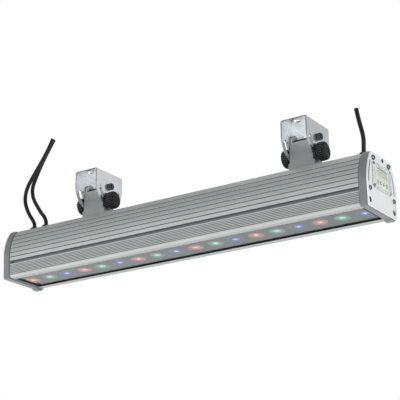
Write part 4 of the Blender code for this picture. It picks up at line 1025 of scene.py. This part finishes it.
@dataclass
class Studio:
    """The plain pale floor, the white surroundings and the soft lamps.

    The surroundings fade overhead to the zenith's strength, over a span of heights. The flag is a dimmer
    part of them at the back, given by its way from the bar, the cosines of its edge and its strength.
    A lamp has its name, its place, the width of its square and its power in watts.
    """

    floor_height: float = -0.78
    floor_half: float = 6.0
    floor_tone: str = "#f7f7f7"
    floor_glow: float = 0.54
    ambient: float = 0.58
    zenith: float = 0.5
    zenith_span: tuple[float, float] = (-0.2, 0.8)
    flag_way: Place = (0.2, 0.9, 0.38)
    flag_edge: tuple[float, float] = (0.9, 0.95)
    flag_dim: float = 0.72
    aim: Place = (0.0, 0.0, -0.09)
    lamps: list[tuple[str, Place, float, float]] = field(default_factory=lambda: [
        ("key", (3.2, 0.1, 0.1), 2.8, 60.0),
        ("front", (-1.0, -1.5, -0.5), 2.0, 7.0),
        ("below", (-0.1, -0.25, -0.76), 2.4, 8.5),
        ("above", (-0.2, 0.4, 1.5), 1.4, 3.0),
    ])

    def build(self) -> None:
        """Make the floor, the world and the lamps."""
        scene = bpy.context.scene
        scene.view_settings.view_transform = "Standard"
        half = self.floor_half
        floor = mesh_object("floor", [
            (-half, -half, self.floor_height), (half, -half, self.floor_height),
            (half, half, self.floor_height), (-half, half, self.floor_height),
        ], [(0, 1, 2, 3)])
        floor.data.materials.append(self.floor_material())
        world = bpy.data.worlds.new("studio")
        scene.world = world
        world.use_nodes = True
        world.node_tree.nodes.clear()
        self.surroundings(world.node_tree)
        for name, place, size, power in self.lamps:
            self.lamp(name, place, size, power)

    def floor_material(self) -> bpy.types.Material:
        """Matt white card lit from behind, open from below so that a low view isn't blocked.

        Returns:
            The material.
        """
        made = bpy.data.materials.new("white_card_floor")
        made.use_nodes = True
        tree = made.node_tree
        tree.nodes.clear()
        lit = add_node(tree, "ShaderNodeBsdfDiffuse", {"Color": linear(self.floor_tone)})
        glow = add_node(tree, "ShaderNodeEmission", {
            "Color": (1.0, 1.0, 1.0, 1.0), "Strength": self.floor_glow,
        })
        card = add_node(tree, "ShaderNodeAddShader", {
            0: lit.outputs["BSDF"], 1: glow.outputs["Emission"],
        })
        below = add_node(tree, "ShaderNodeNewGeometry").outputs["Backfacing"]
        open_way = add_node(tree, "ShaderNodeBsdfTransparent")
        mixed = add_node(tree, "ShaderNodeMixShader", {
            0: below, 1: card.outputs["Shader"], 2: open_way.outputs["BSDF"],
        })
        add_node(tree, "ShaderNodeOutputMaterial", {"Surface": mixed.outputs["Shader"]})
        return made

    def surroundings(self, tree: bpy.types.NodeTree) -> None:
        """White where it is seen; as a light and in mirrors, dimmer overhead and at the flag.

        Args:
            tree: The world's empty tree.
        """
        path = add_node(tree, "ShaderNodeLightPath").outputs
        seen = add_node(tree, "ShaderNodeMath", {
            0: path["Is Camera Ray"], 1: path["Is Glossy Ray"],
        }, operation="MAXIMUM")
        shown = add_node(tree, "ShaderNodeMath", {
            0: seen.outputs[0], 1: path["Is Transmission Ray"],
        }, operation="MAXIMUM")
        strength = add_node(tree, "ShaderNodeMapRange", {
            "Value": shown.outputs[0], "To Min": self.ambient, "To Max": 1.0,
        })
        way = add_node(tree, "ShaderNodeTexCoord").outputs["Generated"]
        height = add_node(tree, "ShaderNodeSeparateXYZ", {"Vector": way}).outputs["Z"]
        overhead = add_node(tree, "ShaderNodeMapRange", {
            "Value": height, "From Min": self.zenith_span[0], "From Max": self.zenith_span[1],
            "To Min": 1.0, "To Max": self.zenith,
        }, interpolation_type="SMOOTHSTEP")
        near = add_node(tree, "ShaderNodeVectorMath", {
            0: way, 1: self.flag_way,
        }, operation="DOT_PRODUCT")
        flag = add_node(tree, "ShaderNodeMapRange", {
            "Value": near.outputs["Value"], "From Min": self.flag_edge[0], "From Max": self.flag_edge[1],
            "To Min": 1.0, "To Max": self.flag_dim,
        })
        shade = add_node(tree, "ShaderNodeMath", {
            0: overhead.outputs["Result"], 1: flag.outputs["Result"],
        }, operation="MULTIPLY")
        dimmed = add_node(tree, "ShaderNodeMix", {
            0: path["Is Camera Ray"], 2: shade.outputs[0], 3: 1.0,
        })
        total = add_node(tree, "ShaderNodeMath", {
            0: strength.outputs["Result"], 1: dimmed.outputs[0],
        }, operation="MULTIPLY")
        back = add_node(tree, "ShaderNodeBackground", {
            "Color": (1.0, 1.0, 1.0, 1.0), "Strength": total.outputs[0],
        })
        add_node(tree, "ShaderNodeOutputWorld", {"Surface": back.outputs["Background"]})

    def lamp(self, name: str, place: Place, size: float, power: float) -> None:
        """Add one square soft lamp that faces the bar.

        Args:
            name: The lamp's name.
            place: Where it stands.
            size: The width of its square.
            power: Its power in watts.
        """
        data = bpy.data.lights.new(name, "AREA")
        data.size = size
        data.energy = power
        made = bpy.data.objects.new(name, data)
        made.location = place
        way = Vector(self.aim) - Vector(place)
        made.rotation_euler = way.to_track_quat("-Z", "Y").to_euler()
        bpy.context.scene.collection.objects.link(made)


@dataclass
class Cables:
    """The three cut cable tails and the inner leads that they feed.

    A route has its start along the bar in millimetres, its length, and its further points in millimetres.
    """

    diameter: float = 5.0 * MM
    start_height: float = -52.7 * MM
    core_radius: float = 0.8 * MM
    strand_radius: float = 0.45 * MM
    core_proud: float = 0.25 * MM
    strand_proud: float = 0.45 * MM
    core_sunk: float = 1.0 * MM
    core_spread: float = 1.25
    routes: dict[str, tuple[float, float, tuple[Place, ...]]] = field(default_factory=lambda: {
        "mains_cable": (-255.2, 0.135, (
            (-255.4, 0, -46), (-258.8, 0, -39.5), (-265, 0, -30.5), (-270, 0, -21), (-273, 0, -11),
            (-273, 0, -2), (-270, 0, 8), (-264, 0, 17.5), (-257, 0, 27), (-250, 0, 36), (-243, 0, 45.5),
            (-236, 0, 56), (-229.5, 0, 68),
        )),
        "data_in_cable": (-235.7, 0.140, (
            (-235.9, 0, -46), (-238.6, 0, -39.5), (-246, 1, -31), (-254, 3, -21), (-262, 5, -10),
            (-267, 7, 0.5), (-268, 8, 10), (-265.5, 9, 19.5), (-261, 9, 29), (-255.5, 9, 39),
            (-249, 8.5, 49), (-241.5, 8, 59.5), (-234, 8, 70.5),
        )),
        "data_out_cable": (223.8, 0.057, (
            (224, 0, -45), (224.3, 0, -37), (223.6, 0, -29), (221.6, 0, -19.5), (219, 0, -8), (216.8, 0, 4),
        )),
    })

    def build(self) -> None:
        """Make the three tails with their cut ends, and dress the inner leads."""
        for node, (start_x, length, points) in self.routes.items():
            start = Vector((start_x * MM, 0.0, self.start_height))
            route = [start] + [Vector(p) * MM for p in points]
            cores = self.cores(node, route[-1], (route[-1] - route[-2]).normalized())
            tail = self.tail(node, route)
            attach(tail, "housing")
            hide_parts(node)
            log.info("%s: %d route points", tail.name, len(route))
        for node in ("mains_lead", "data_in_lead", "data_out_lead"):
            dress(node, JACKET)

    def tail(self, node: str, route: Sequence[Vector]) -> bpy.types.Object:
        """One cable tail: a round tube on a smooth curve through its route.

        Args:
            node: The cable's node.
            route: The points of its centre line.

        Returns:
            The tail.
        """
        curve = bpy.data.curves.new(f"{node}_jacket", "CURVE")
        curve.dimensions = "3D"
        curve.bevel_depth = self.diameter / 2
        curve.bevel_resolution = 6
        curve.resolution_u = 8
        curve.use_fill_caps = True
        spline = curve.splines.new("BEZIER")
        spline.bezier_points.add(len(route) - 1)
        for point, place in zip(spline.bezier_points, route):
            point.co = place
            point.handle_left_type = "AUTO"
            point.handle_right_type = "AUTO"
        made = bpy.data.objects.new(f"{node}_jacket", curve)
        bpy.context.scene.collection.objects.link(made)
        curve.materials.append(JACKET.material())
        return made

    def cores(self, node: str, end: Vector, way: Vector) -> list[bpy.types.Object]:
        """The three cores that show in a cable's cut end.

        Args:
            node: The cable's node.
            end: The middle of the cut face.
            way: The direction that the face looks in.

        Returns:
            The sleeves and the strands.
        """
        turn = way.to_track_quat("Z", "Y")
        spread = circle((0.0, 0.0), self.core_radius * self.core_spread, 3)
        places = [end + turn @ Vector((x, y, -self.core_sunk)) for x, y in spread]
        euler = tuple(turn.to_euler())
        made = []
        for word, radius, proud, finish in (
            ("sleeves", self.core_radius, self.core_proud, CORE_SLEEVE),
            ("strands", self.strand_radius, self.strand_proud, COPPER),
        ):
            top = self.core_sunk + proud
            core = lathe(word, [(0, 0), (radius, 0), (radius, top), (0, top)], 12)
            piece = scatter.grow(
                f"{node}_{word}", finish, places, Piece=core, Turn=euler, Spin=0.0, Seed=1,
            )
            made.append(settle(piece, "housing"))
        return made


@dataclass
class Housing:
    """The extruded bar with its end caps, gaskets and end plates.

    The last five sizes find the grooves whose depth the mesh carries for their painted shade: where a side
    starts, the heights of its ribs, how far off a land may be, the depth that counts as full, and the share
    that counts as none.
    """

    fin_fillet: float = 0.25 * MM
    cap_edge: float = 0.6 * MM
    plate_edge: float = 0.3 * MM
    gland_hole: float = 5.2 * MM
    gland_depth: float = 14.0 * MM
    sharpest: float = 38.0
    smallest_loop: int = 40
    side_start: float = 28.5 * MM
    ribbed: tuple[float, float] = (3.0 * MM, 23.0 * MM)
    land_reach: float = 3.2 * MM
    full_depth: float = 0.9 * MM
    depth_start: float = 0.1

    def build(self) -> None:
        """Make and dress the bar's shell."""
        self.extrusion()
        for side in Side:
            word = side.value
            cap = softened(f"{word}_end_cap", f"{word}_cap_casting", self.cap_edge, CAST_PAINTED)
            settle(cap, "housing", [f"{word}_end_cap"])
            dress(f"{word}_cap_gasket", GREY_SILICONE)
            plate = softened(f"{word}_end_plate", f"{word}_pressed_plate", self.plate_edge, PRESSED_PLATE)
            settle(plate, "housing", [f"{word}_end_plate"])

    def extrusion(self) -> None:
        """Draw the bar's profile again with its fins and ribs rounded, and bore it for the glands."""
        loops = [loop for loop in end_loops("housing_extrusion") if len(loop) >= self.smallest_loop]
        low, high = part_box("housing_extrusion")
        bar = drawn.grow(
            "finned_extrusion", ANODISED, Outline=outline_object("bar_profile", loops),
            Fillet=self.fin_fillet, Length=high.x - low.x, Start=(low.x, 0.0, 0.0),
            Turn=(pi / 2, 0.0, pi / 2),
        )
        glands = [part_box(f"{name}_gland") for name in ("mains", "data_in", "data_out")]
        holes = [((a.x + b.x) / 2, (a.y + b.y) / 2, high.z) for a, b in glands]
        radius, tip = self.gland_hole, -self.gland_depth
        drill = lathe("drill", [(0, tip), (radius, tip), (radius, MM), (0, MM)], 24)
        cutter = scatter.grow(
            "gland_drills", ANODISED, holes, Piece=drill, Turn=turn_to("+Z"), Spin=0.0, Seed=1,
        )
        bore = bar.modifiers.new("gland_holes", "BOOLEAN")
        bore.object = cutter
        bore.solver = "EXACT"
        plain(bar)
        bpy.data.objects.remove(cutter)
        smoothed(bar, self.sharpest)
        # The depths give the bar's grooves their painted shade
        carry(bar, self.depths(bar))
        settle(bar, "housing", ["housing_extrusion"])

    def depths(self, bar: bpy.types.Object) -> list[float]:
        """How deep each point of the bar's sides lies in the broad groove or between two ribs, for its painted
        shade.

        Args:
            bar: The finished extrusion.

        Returns:
            For each point, its depth under the lands about it as a share of the full depth, from 0 to 1.
        """
        spots = [(abs(v.co.y), v.co.z - BAR_START.z) for v in bar.data.vertices]
        low, high = self.ribbed
        outline = {
            (round(y, 5), round(z, 5)) for y, z in spots if y > self.side_start and low < z < high
        }
        found: dict[Point, float] = {}
        for y, z in outline:
            outer = max(a for a, b in outline if abs(b - z) < self.land_reach)
            found[y, z] = min(max((outer - y) / self.full_depth - self.depth_start, 0.0), 1.0)
        return [found.get((round(y, 5), round(z, 5)), 0.0) for y, z in spots]


@dataclass
class Fasteners:
    """The bar's small screws, which have pan heads with a cross recess, and the two vents.

    A screw is given by the radius and height of its head and the length of its shank. The shares are of
    the head's radius, for the shank, a cap screw's head height and the arms of the cross, and of its
    height, for the deepest recess.
    """

    shank_share: float = 0.5
    cap_head_share: float = 0.68
    recess_depth: float = 0.9 * MM
    recess_share: float = 0.7
    cross_shares: tuple[float, float] = (0.62, 0.2)
    plate_screw: Place = (2.8 * MM, 1.7 * MM, 6.0 * MM)
    cover_screw: Place = (1.25 * MM, 0.9 * MM, 1.0 * MM)
    board_screw: Place = (2.6 * MM, 1.6 * MM, 4.0 * MM)
    board_gaps: tuple[int, ...] = (-8, -5, -2, 1, 4, 7)
    emitter_drop: float = 1.3 * MM
    vent_radius: float = 1.9 * MM
    vent_length: float = 4.0 * MM
    plate_sink: float = 0.6 * MM
    plate_places: tuple[Point, ...] = ((-28.6 * MM, 19.7 * MM), (28.6 * MM, 19.7 * MM))
    vent_place: Point = (4.5 * MM, 60.4 * MM)
    cover_y: float = 19.0 * MM
    cover_z: tuple[float, float] = (25.5 * MM, 50.5 * MM)

    def screw(self, head_radius: float, head_height: float, length: float) -> bpy.types.Object:
        """A pan-head screw along +Z, its seat at zero and its shank below.

        Args:
            head_radius: Radius of the head.
            head_height: Height of the head.
            length: Length of the shank.

        Returns:
            The screw, with a cross recess cut into its head.
        """
        crown = [
            (head_radius * cos(t), head_height * (0.35 + 0.65 * sin(t))) for t in (0.0, 0.4, 0.8, 1.15)
        ]
        shank = head_radius * self.shank_share
        made = lathe("screw", [
            (0, -length), (shank, -length), (shank, 0), (head_radius, 0), *crown, (0, head_height),
        ], 24)
        arm, width = [head_radius * share for share in self.cross_shares]
        floor = head_height - min(self.recess_depth, head_height * self.recess_share)
        for wide, deep in ((arm, width), (width, arm)):
            outline = [(-wide, -deep), (wide, -deep), (wide, deep), (-wide, deep)]
            corners = [(*p, z) for z in (floor, head_height + MM) for p in outline]
            cutter = mesh_object("cross", corners, [
                (3, 2, 1, 0), (4, 5, 6, 7), (0, 1, 5, 4), (1, 2, 6, 5), (2, 3, 7, 6), (3, 0, 4, 7),
            ])
            cut = made.modifiers.new("cross", "BOOLEAN")
            cut.object = cutter
            cut.solver = "EXACT"
            plain(made)
            bpy.data.objects.remove(cutter)
        return made

    def sets(
        self, name: str, screw: bpy.types.Object, places: Sequence[Any], axis: str, seed: int,
        stands_for: Sequence[str] = (),
    ) -> None:
        """Set one kind of screw at its places.

        Args:
            name: The piece's name.
            screw: The screw along +Z.
            places: Where the heads' seats are.
            axis: The way that the heads face.
            seed: What the turns of the recesses are drawn from.
            stands_for: The nodes that the screws replace.
        """
        piece = scatter.grow(
            name, SCREW_ZINC, places, Piece=screw, Turn=turn_to(axis), Spin=pi / 2, Seed=seed,
        )
        settle(smoothed(piece, 35.0), "housing", stands_for)

    def build(self) -> None:
        """Set the cap, plate, cover and board screws, and the vents."""
        for side in Side:
            word = side.value
            for row in ("upper", "lower"):
                nodes = [f"{word}_{row}_cap_screw_{i}" for i in (1, 2)]
                self.cap_pair(nodes, side, seed=len(nodes[0]))
            low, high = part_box(f"{word}_end_plate")
            face = (high.x if side is Side.RIGHT else low.x) - side.way * self.plate_sink
            places = [(face, y, z + BAR_START.z) for y, z in self.plate_places]
            screw = self.screw(*self.plate_screw)
            self.sets(f"{word}_plate_screws", screw, places, side.axis, seed=7)
            self.vent(side, face)
        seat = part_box("control_cover")[1].x - self.cover_screw[1]
        places = [(seat, sign * self.cover_y, z + BAR_START.z) for z in self.cover_z for sign in (-1, 1)]
        self.sets("cover_screws", self.screw(*self.cover_screw), places, "+X", seed=11)
        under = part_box("led_board")[0].z + self.emitter_drop
        places = [(BAR_START.x + gap * Optics.pitch, 0.0, under) for gap in self.board_gaps]
        self.sets("board_screws", self.screw(*self.board_screw), places, "-Z", seed=13)

    def cap_pair(self, nodes: Sequence[str], side: Side, seed: int) -> None:
        """Replace a pair of cap screws by finer ones of the same size and place.

        Args:
            nodes: The two screws' nodes.
            side: The end of the bar that they are on.
            seed: What the turns of the recesses are drawn from.
        """
        boxes = [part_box(node) for node in nodes]
        low, high = boxes[0]
        radius = (high.z - low.z) / 2
        length = high.x - low.x
        height = radius * self.cap_head_share
        places = []
        for a, b in boxes:
            top = b.x if side is Side.RIGHT else a.x
            places.append((top - side.way * height, (a.y + b.y) / 2, (a.z + b.z) / 2))
        screw = self.screw(radius, height, length - height)
        name = nodes[0].removesuffix("_1") + "s"
        self.sets(name, screw, places, side.axis, seed, nodes)

    def vent(self, side: Side, face: float) -> None:
        """The small black breather that keeps the bar from fogging.

        Args:
            side: The end of the bar.
            face: Where the plate's sunk face is along the bar.
        """
        outer, neck, tip = self.vent_radius, self.vent_radius * 0.8, -self.vent_length
        plug = lathe("vent", [
            (0, tip), (neck, tip), (neck, -0.2 * MM), (outer, -0.2 * MM), (outer, 0.35 * MM),
            (neck, 0.55 * MM), (0, 0.4 * MM),
        ], 20)
        y, z = self.vent_place
        piece = scatter.grow(
            f"{side.value}_vent", MOULDED_NYLON, [(face, y, z + BAR_START.z)], Piece=plug,
            Turn=turn_to(side.axis), Spin=0.0, Seed=1,
        )
        settle(smoothed(piece), "housing")


@dataclass
class Optics:
    """The glass, its seal, and the tray of eighteen lenses over the LEDs' board."""

    count: int = 18
    pitch: float = 28.0 * MM
    lens_radius: float = 9.5 * MM
    lens_back: float = 4.2 * MM
    lens_overlap: float = 0.6 * MM
    core_radius: float = 3.4 * MM
    tray_stand: float = 0.1 * MM
    tray_thickness: float = 2.0 * MM
    dish: float = 0.8 * MM

    def build(self) -> None:
        """Make the lenses and their tray, and dress the rest."""
        dress("window_glass", FLOAT_GLASS)
        dress("window_seal", PRESSED_RUBBER)
        dress("led_board", WHITE_MASK)
        self.tray()
        for i, hue in enumerate(Hue):
            self.lenses(hue, i)

    def start(self) -> float:
        """Where the first lens is along the bar, in the world."""
        return BAR_START.x - (self.count - 1) / 2 * self.pitch

    def tray(self) -> None:
        """The grey tray with a hole for each lens."""
        low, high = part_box("lens_array")
        half = (high.y - low.y) / 2
        edge = [(low.x, -half), (high.x, -half), (high.x, half), (low.x, half)]
        hole = self.lens_radius - self.lens_overlap
        holes = [circle((self.start() + i * self.pitch, 0.0), hole, 48) for i in range(self.count)]
        piece = drawn.grow(
            "lens_tray", TRAY, Outline=outline_object("tray", [edge, *holes]), Fillet=0.0,
            Length=self.tray_thickness, Start=(0.0, 0.0, low.z + self.tray_stand),
            Turn=(0.0, 0.0, 0.0),
        )
        settle(smoothed(piece), "housing", ["lens_array"])

    def lenses(self, hue: Hue, first: int) -> None:
        """Every third lens, in one colour, and its bright core.

        Args:
            hue: The colour.
            first: The number of the first such lens from the left.
        """
        low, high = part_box("lens_array")
        rim, back = low.z, high.z
        radius, core = self.lens_radius, self.core_radius
        lens = lathe("lens", [
            (core, rim + self.dish), (radius * 0.6, rim + self.dish * 0.8),
            (radius * 0.9, rim + self.dish * 0.3), (radius * 0.95, rim), (radius, rim),
            (radius, rim + 0.4 * MM), (radius * 0.86, rim + 3 * MM), (self.lens_back, back), (0, back),
            (0, rim + self.dish * 1.6), (core, rim + self.dish * 1.3), (core, rim + self.dish),
        ], 40)
        dome = lathe("core", [
            (0, rim + 0.1 * MM), (core * 0.4, rim + 0.16 * MM), (core * 0.75, rim + 0.42 * MM),
            (core * 0.96, rim + self.dish), (core * 0.96, rim + self.dish * 1.25),
            (0, rim + self.dish * 1.5),
        ], 32)
        carry_reach(lens, radius)
        carry_reach(dome, core)
        places = {"Count": self.count // 3, "Start": (self.start() + first * self.pitch, 0.0, 0.0),
                  "Pitch": (3 * self.pitch, 0.0, 0.0)}
        piece = row.grow(f"{hue.word}_lenses", lens_finish(hue), Piece=lens, **places)
        settle(smoothed(piece), "housing")
        glow = row.grow(f"{hue.word}_lens_cores", core_finish(hue), Piece=dome, **places)
        settle(smoothed(glow), "housing")


@dataclass
class Controls:
    """The control panel under its clear cover on the right end, and the boards and supply inside."""

    cover_edge: float = 0.4 * MM
    button_edge: float = 0.25 * MM

    def build(self) -> None:
        """Dress the panel's pieces and the electronics."""
        cover = softened("control_cover", "clear_cover", self.cover_edge, POLYCARBONATE)
        settle(cover, "housing", ["control_cover"])
        for word in ("mode", "up", "down", "enter"):
            node = f"{word}_button"
            key = softened(node, f"{word}_key", self.button_edge, KEYS, corner=50.0)
            settle(key, node, [node])
        for node, finish in (
            ("cover_gasket", PALE_SILICONE), ("control_panel", PANEL), ("control_display", SMOKED),
            ("control_board", GREEN_MASK), ("driver_board", GREEN_MASK), ("power_supply", SUPPLY_CASE),
        ):
            dress(node, finish)


@dataclass
class Glands:
    """The cable glands in the bar's top, with their fluted dome nuts."""

    flutes: int = 12
    flute_depth: float = 0.07
    dome: float = 2.8 * MM
    mouth: float = 3.3 * MM
    body_edge: float = 0.3 * MM

    def build(self) -> None:
        """Make the three glands and nuts."""
        for word in ("mains", "data_in", "data_out"):
            body = softened(f"{word}_gland", f"{word}_gland_body", self.body_edge, MOULDED_NYLON)
            settle(body, "housing", [f"{word}_gland"])
            self.nut(word)

    def nut(self, word: str) -> None:
        """A dome nut with flutes for the fingers, closed round its cable by the rubber insert.

        Args:
            word: The word that starts the nut's name.
        """
        low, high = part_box(f"{word}_gland_nut")
        height = high.z - low.z
        r = (high.x - low.x) / 2
        profile = [
            (r - 0.4 * MM, 0.0), (r, 0.4 * MM), (r, height - self.dome),
            (r - 0.35 * MM, height - 0.72 * self.dome), (r - 0.95 * MM, height - 0.4 * self.dome),
            (r - 1.7 * MM, height - 0.1 * self.dome), (r - 2.1 * MM, height), (self.mouth, height),
            (self.mouth - 0.3 * MM, height - 0.3 * MM),
        ]
        piece = grips.grow(
            f"{word}_dome_nut", MOULDED_NYLON, Profile=profile_object("dome", profile),
            Flutes=self.flutes, Depth=self.flute_depth,
            Start=((low.x + high.x) / 2, (low.y + high.y) / 2, low.z), Turn=turn_to("+Z"),
        )
        settle(smoothed(piece, 50.0), "housing", [f"{word}_gland_nut"])


@dataclass
class Holder:
    """One of the two holders: the bracket on the bar, the tilting yoke and its two clamping knobs.

    The ring and the crest are distances from a knob's axis, where its face and its flutes get a painted
    highlight.
    The bracket gets a painted reflection over a span of heights, on what lies in front of the front's limit.
    A face of the yoke is a sheared edge by its normal: in the band at the top where it looks forwards or
    back, and in the cheeks where it doesn't look along the bar.
    """

    side: Side
    sheet_edge: float = 0.25 * MM
    screw_edge: float = 0.3 * MM
    pivot_edge: float = 0.35 * MM
    knob_radius: float = 11.0 * MM
    flutes: int = 26
    flute_depth: float = 0.055
    collar_radius: float = 8.0 * MM
    collar_height: float = 1.4 * MM
    ring: tuple[float, float] = (4.3 * MM, 5.1 * MM)
    crest: float = 10.7 * MM
    crest_highlight: float = 0.35
    stud_radius: float = 2.5 * MM
    seat: float = 17.3 * MM
    front_limit: float = -3.0 * MM
    reflection_span: tuple[float, float] = (-36.0 * MM, -22.0 * MM)
    top_band: float = 2.2 * MM
    top_edge_share: float = 0.75
    cheek_edge_share: float = 0.3

    def build(self) -> None:
        """Make the holder's pieces."""
        word = self.side.value
        self.yoke(f"{word}_yoke")
        bracket = softened(f"{word}_bracket", f"{word}_folded_bracket", self.sheet_edge, DULL_SHEET)
        # The bracket's painted reflection: lighter towards the top of its front
        carry(bracket, [self.painted_reflection(v.co.y, v.co.z) for v in bracket.data.vertices])
        settle(bracket, "housing", [f"{word}_bracket"])
        for i in (1, 2):
            node = f"{word}_bracket_screw_{i}"
            screw = softened(node, f"{word}_bar_screw_{i}", self.screw_edge, SCREW_ZINC)
            settle(screw, "housing", [node])
        dress(f"{word}_slot_nut", SCREW_ZINC)
        for part, name in (("pivot_bolt", "black_pivot_bolt"), ("pivot_nut", "black_pivot_nut")):
            piece = softened(f"{word}_{part}", f"{word}_{name}", self.pivot_edge, BLACK_STEEL)
            settle(piece, "housing", [f"{word}_{part}"])
        for knob in Side:
            self.knob(f"{word}_yoke_{knob.value}_knob", knob)

    def painted_reflection(self, y: float, z: float) -> float:
        """How far a point of the bracket lies up the upper part of its front, from 0 to 1: its painted
        reflection.
        """
        low, high = self.reflection_span
        return min(max((z - low) / (high - low), 0.0), 1.0) if y < self.front_limit else 0.0

    def painted_highlight(self, reach: float) -> float:
        """How much painted highlight the knob gets at a distance from its axis, from 0 to 1.

        Args:
            reach: The distance from the knob's axis.

        Returns:
            The share.
        """
        if self.ring[0] < reach < self.ring[1]:
            return 1.0
        return self.crest_highlight if reach > self.crest else 0.0

    def yoke(self, node: str) -> None:
        """The tilting yoke, with the bare grey of its sheared edges.

        Args:
            node: The yoke's node, which is also its body.
        """
        piece = softened(node, f"{node}_sheet", self.sheet_edge, ZINC_SHEET)
        piece.data.materials.append(SHEARED_EDGE.material())
        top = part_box(node)[1].z
        for face in piece.data.polygons:
            across = face.normal
            if face.center.z > top - self.top_band:
                sheared = abs(across.y) > self.top_edge_share
            else:
                sheared = abs(across.x) < self.cheek_edge_share
            face.material_index = int(sheared)
        settle(piece, node, [node])

    def knob(self, node: str, knob: Side) -> None:
        """A fluted clamping knob and the steel stud moulded into it.

        Args:
            node: The knob's node, which is also its body.
            knob: The side of the yoke that it sits on.
        """
        low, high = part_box(node)
        way = knob.way
        tip, outer = (low.x, high.x) if way > 0 else (high.x, low.x)
        middle = (low.y + high.y) / 2, (low.z + high.z) / 2
        thick = abs(outer - tip)
        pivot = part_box(f"{self.side.value}_yoke")
        seat = (pivot[0].x + pivot[1].x) / 2 + way * self.seat
        grip = abs(outer - seat) - self.collar_height
        r = self.knob_radius
        # From the rim's foot over its round shoulder to the face's sunk ring and dished middle
        profile = [
            (r - 0.9 * MM, 0.0), (r - 0.3 * MM, 0.12 * MM), (r, 0.7 * MM), (r, grip - 2.6 * MM),
            (r - 0.25 * MM, grip - 1.7 * MM), (r - 0.9 * MM, grip - 0.9 * MM),
            (r - 1.9 * MM, grip - 0.35 * MM), (r - 3.3 * MM, grip), (r - 4.0 * MM, grip - 0.05 * MM),
            (r - 4.7 * MM, grip - 0.9 * MM), (r - 5.5 * MM, grip - 0.95 * MM),
            (r - 6.2 * MM, grip - 0.25 * MM), (r - 7.4 * MM, grip - 0.05 * MM),
            (r - 7.9 * MM, grip - 0.5 * MM), (r - 9.8 * MM, grip - 0.6 * MM),
        ]
        start = seat + way * self.collar_height
        turn = turn_to(knob.axis)
        piece = grips.grow(
            f"{node}_grip", GRIP_NYLON, Profile=profile_object("knob", profile), Flutes=self.flutes,
            Depth=self.flute_depth, Start=(start, *middle), Turn=turn,
        )
        # The knob's painted highlight on the face's ring and the flutes' crests
        carry(piece, [self.painted_highlight((v.co.yz - Vector(middle)).length) for v in piece.data.vertices])
        settle(smoothed(piece, 50.0), node, [node])
        stem, collar, foot = self.stud_radius, self.collar_radius, abs(seat - tip)
        stud = lathe("stud", [
            (0, 0), (stem - 0.5 * MM, 0), (stem, 0.5 * MM), (stem, foot), (collar - 0.3 * MM, foot),
            (collar, foot + 0.3 * MM), (collar, thick - grip), (0, thick - grip),
        ], 32)
        steel = scatter.grow(
            f"{node}_stud", SCREW_ZINC, [(tip, *middle)], Piece=stud, Turn=turn, Spin=0.0, Seed=1,
        )
        settle(smoothed(steel), node)


scatter = scatter_tree()
row = row_tree()
drawn = drawn_tree()
grips = grip_tree()


def main() -> None:
    """Build the studio and then the object, one sub-assembly after another."""
    logging.basicConfig(level=logging.INFO, format="%(name)s: %(message)s")
    Camera().build()
    Cables().build()
    Studio().build()
    Housing().build()
    Fasteners().build()
    Optics().build()
    Controls().build()
    Glands().build()
    for side in Side:
        Holder(side).build()


if __name__ == "__main__":
    main()
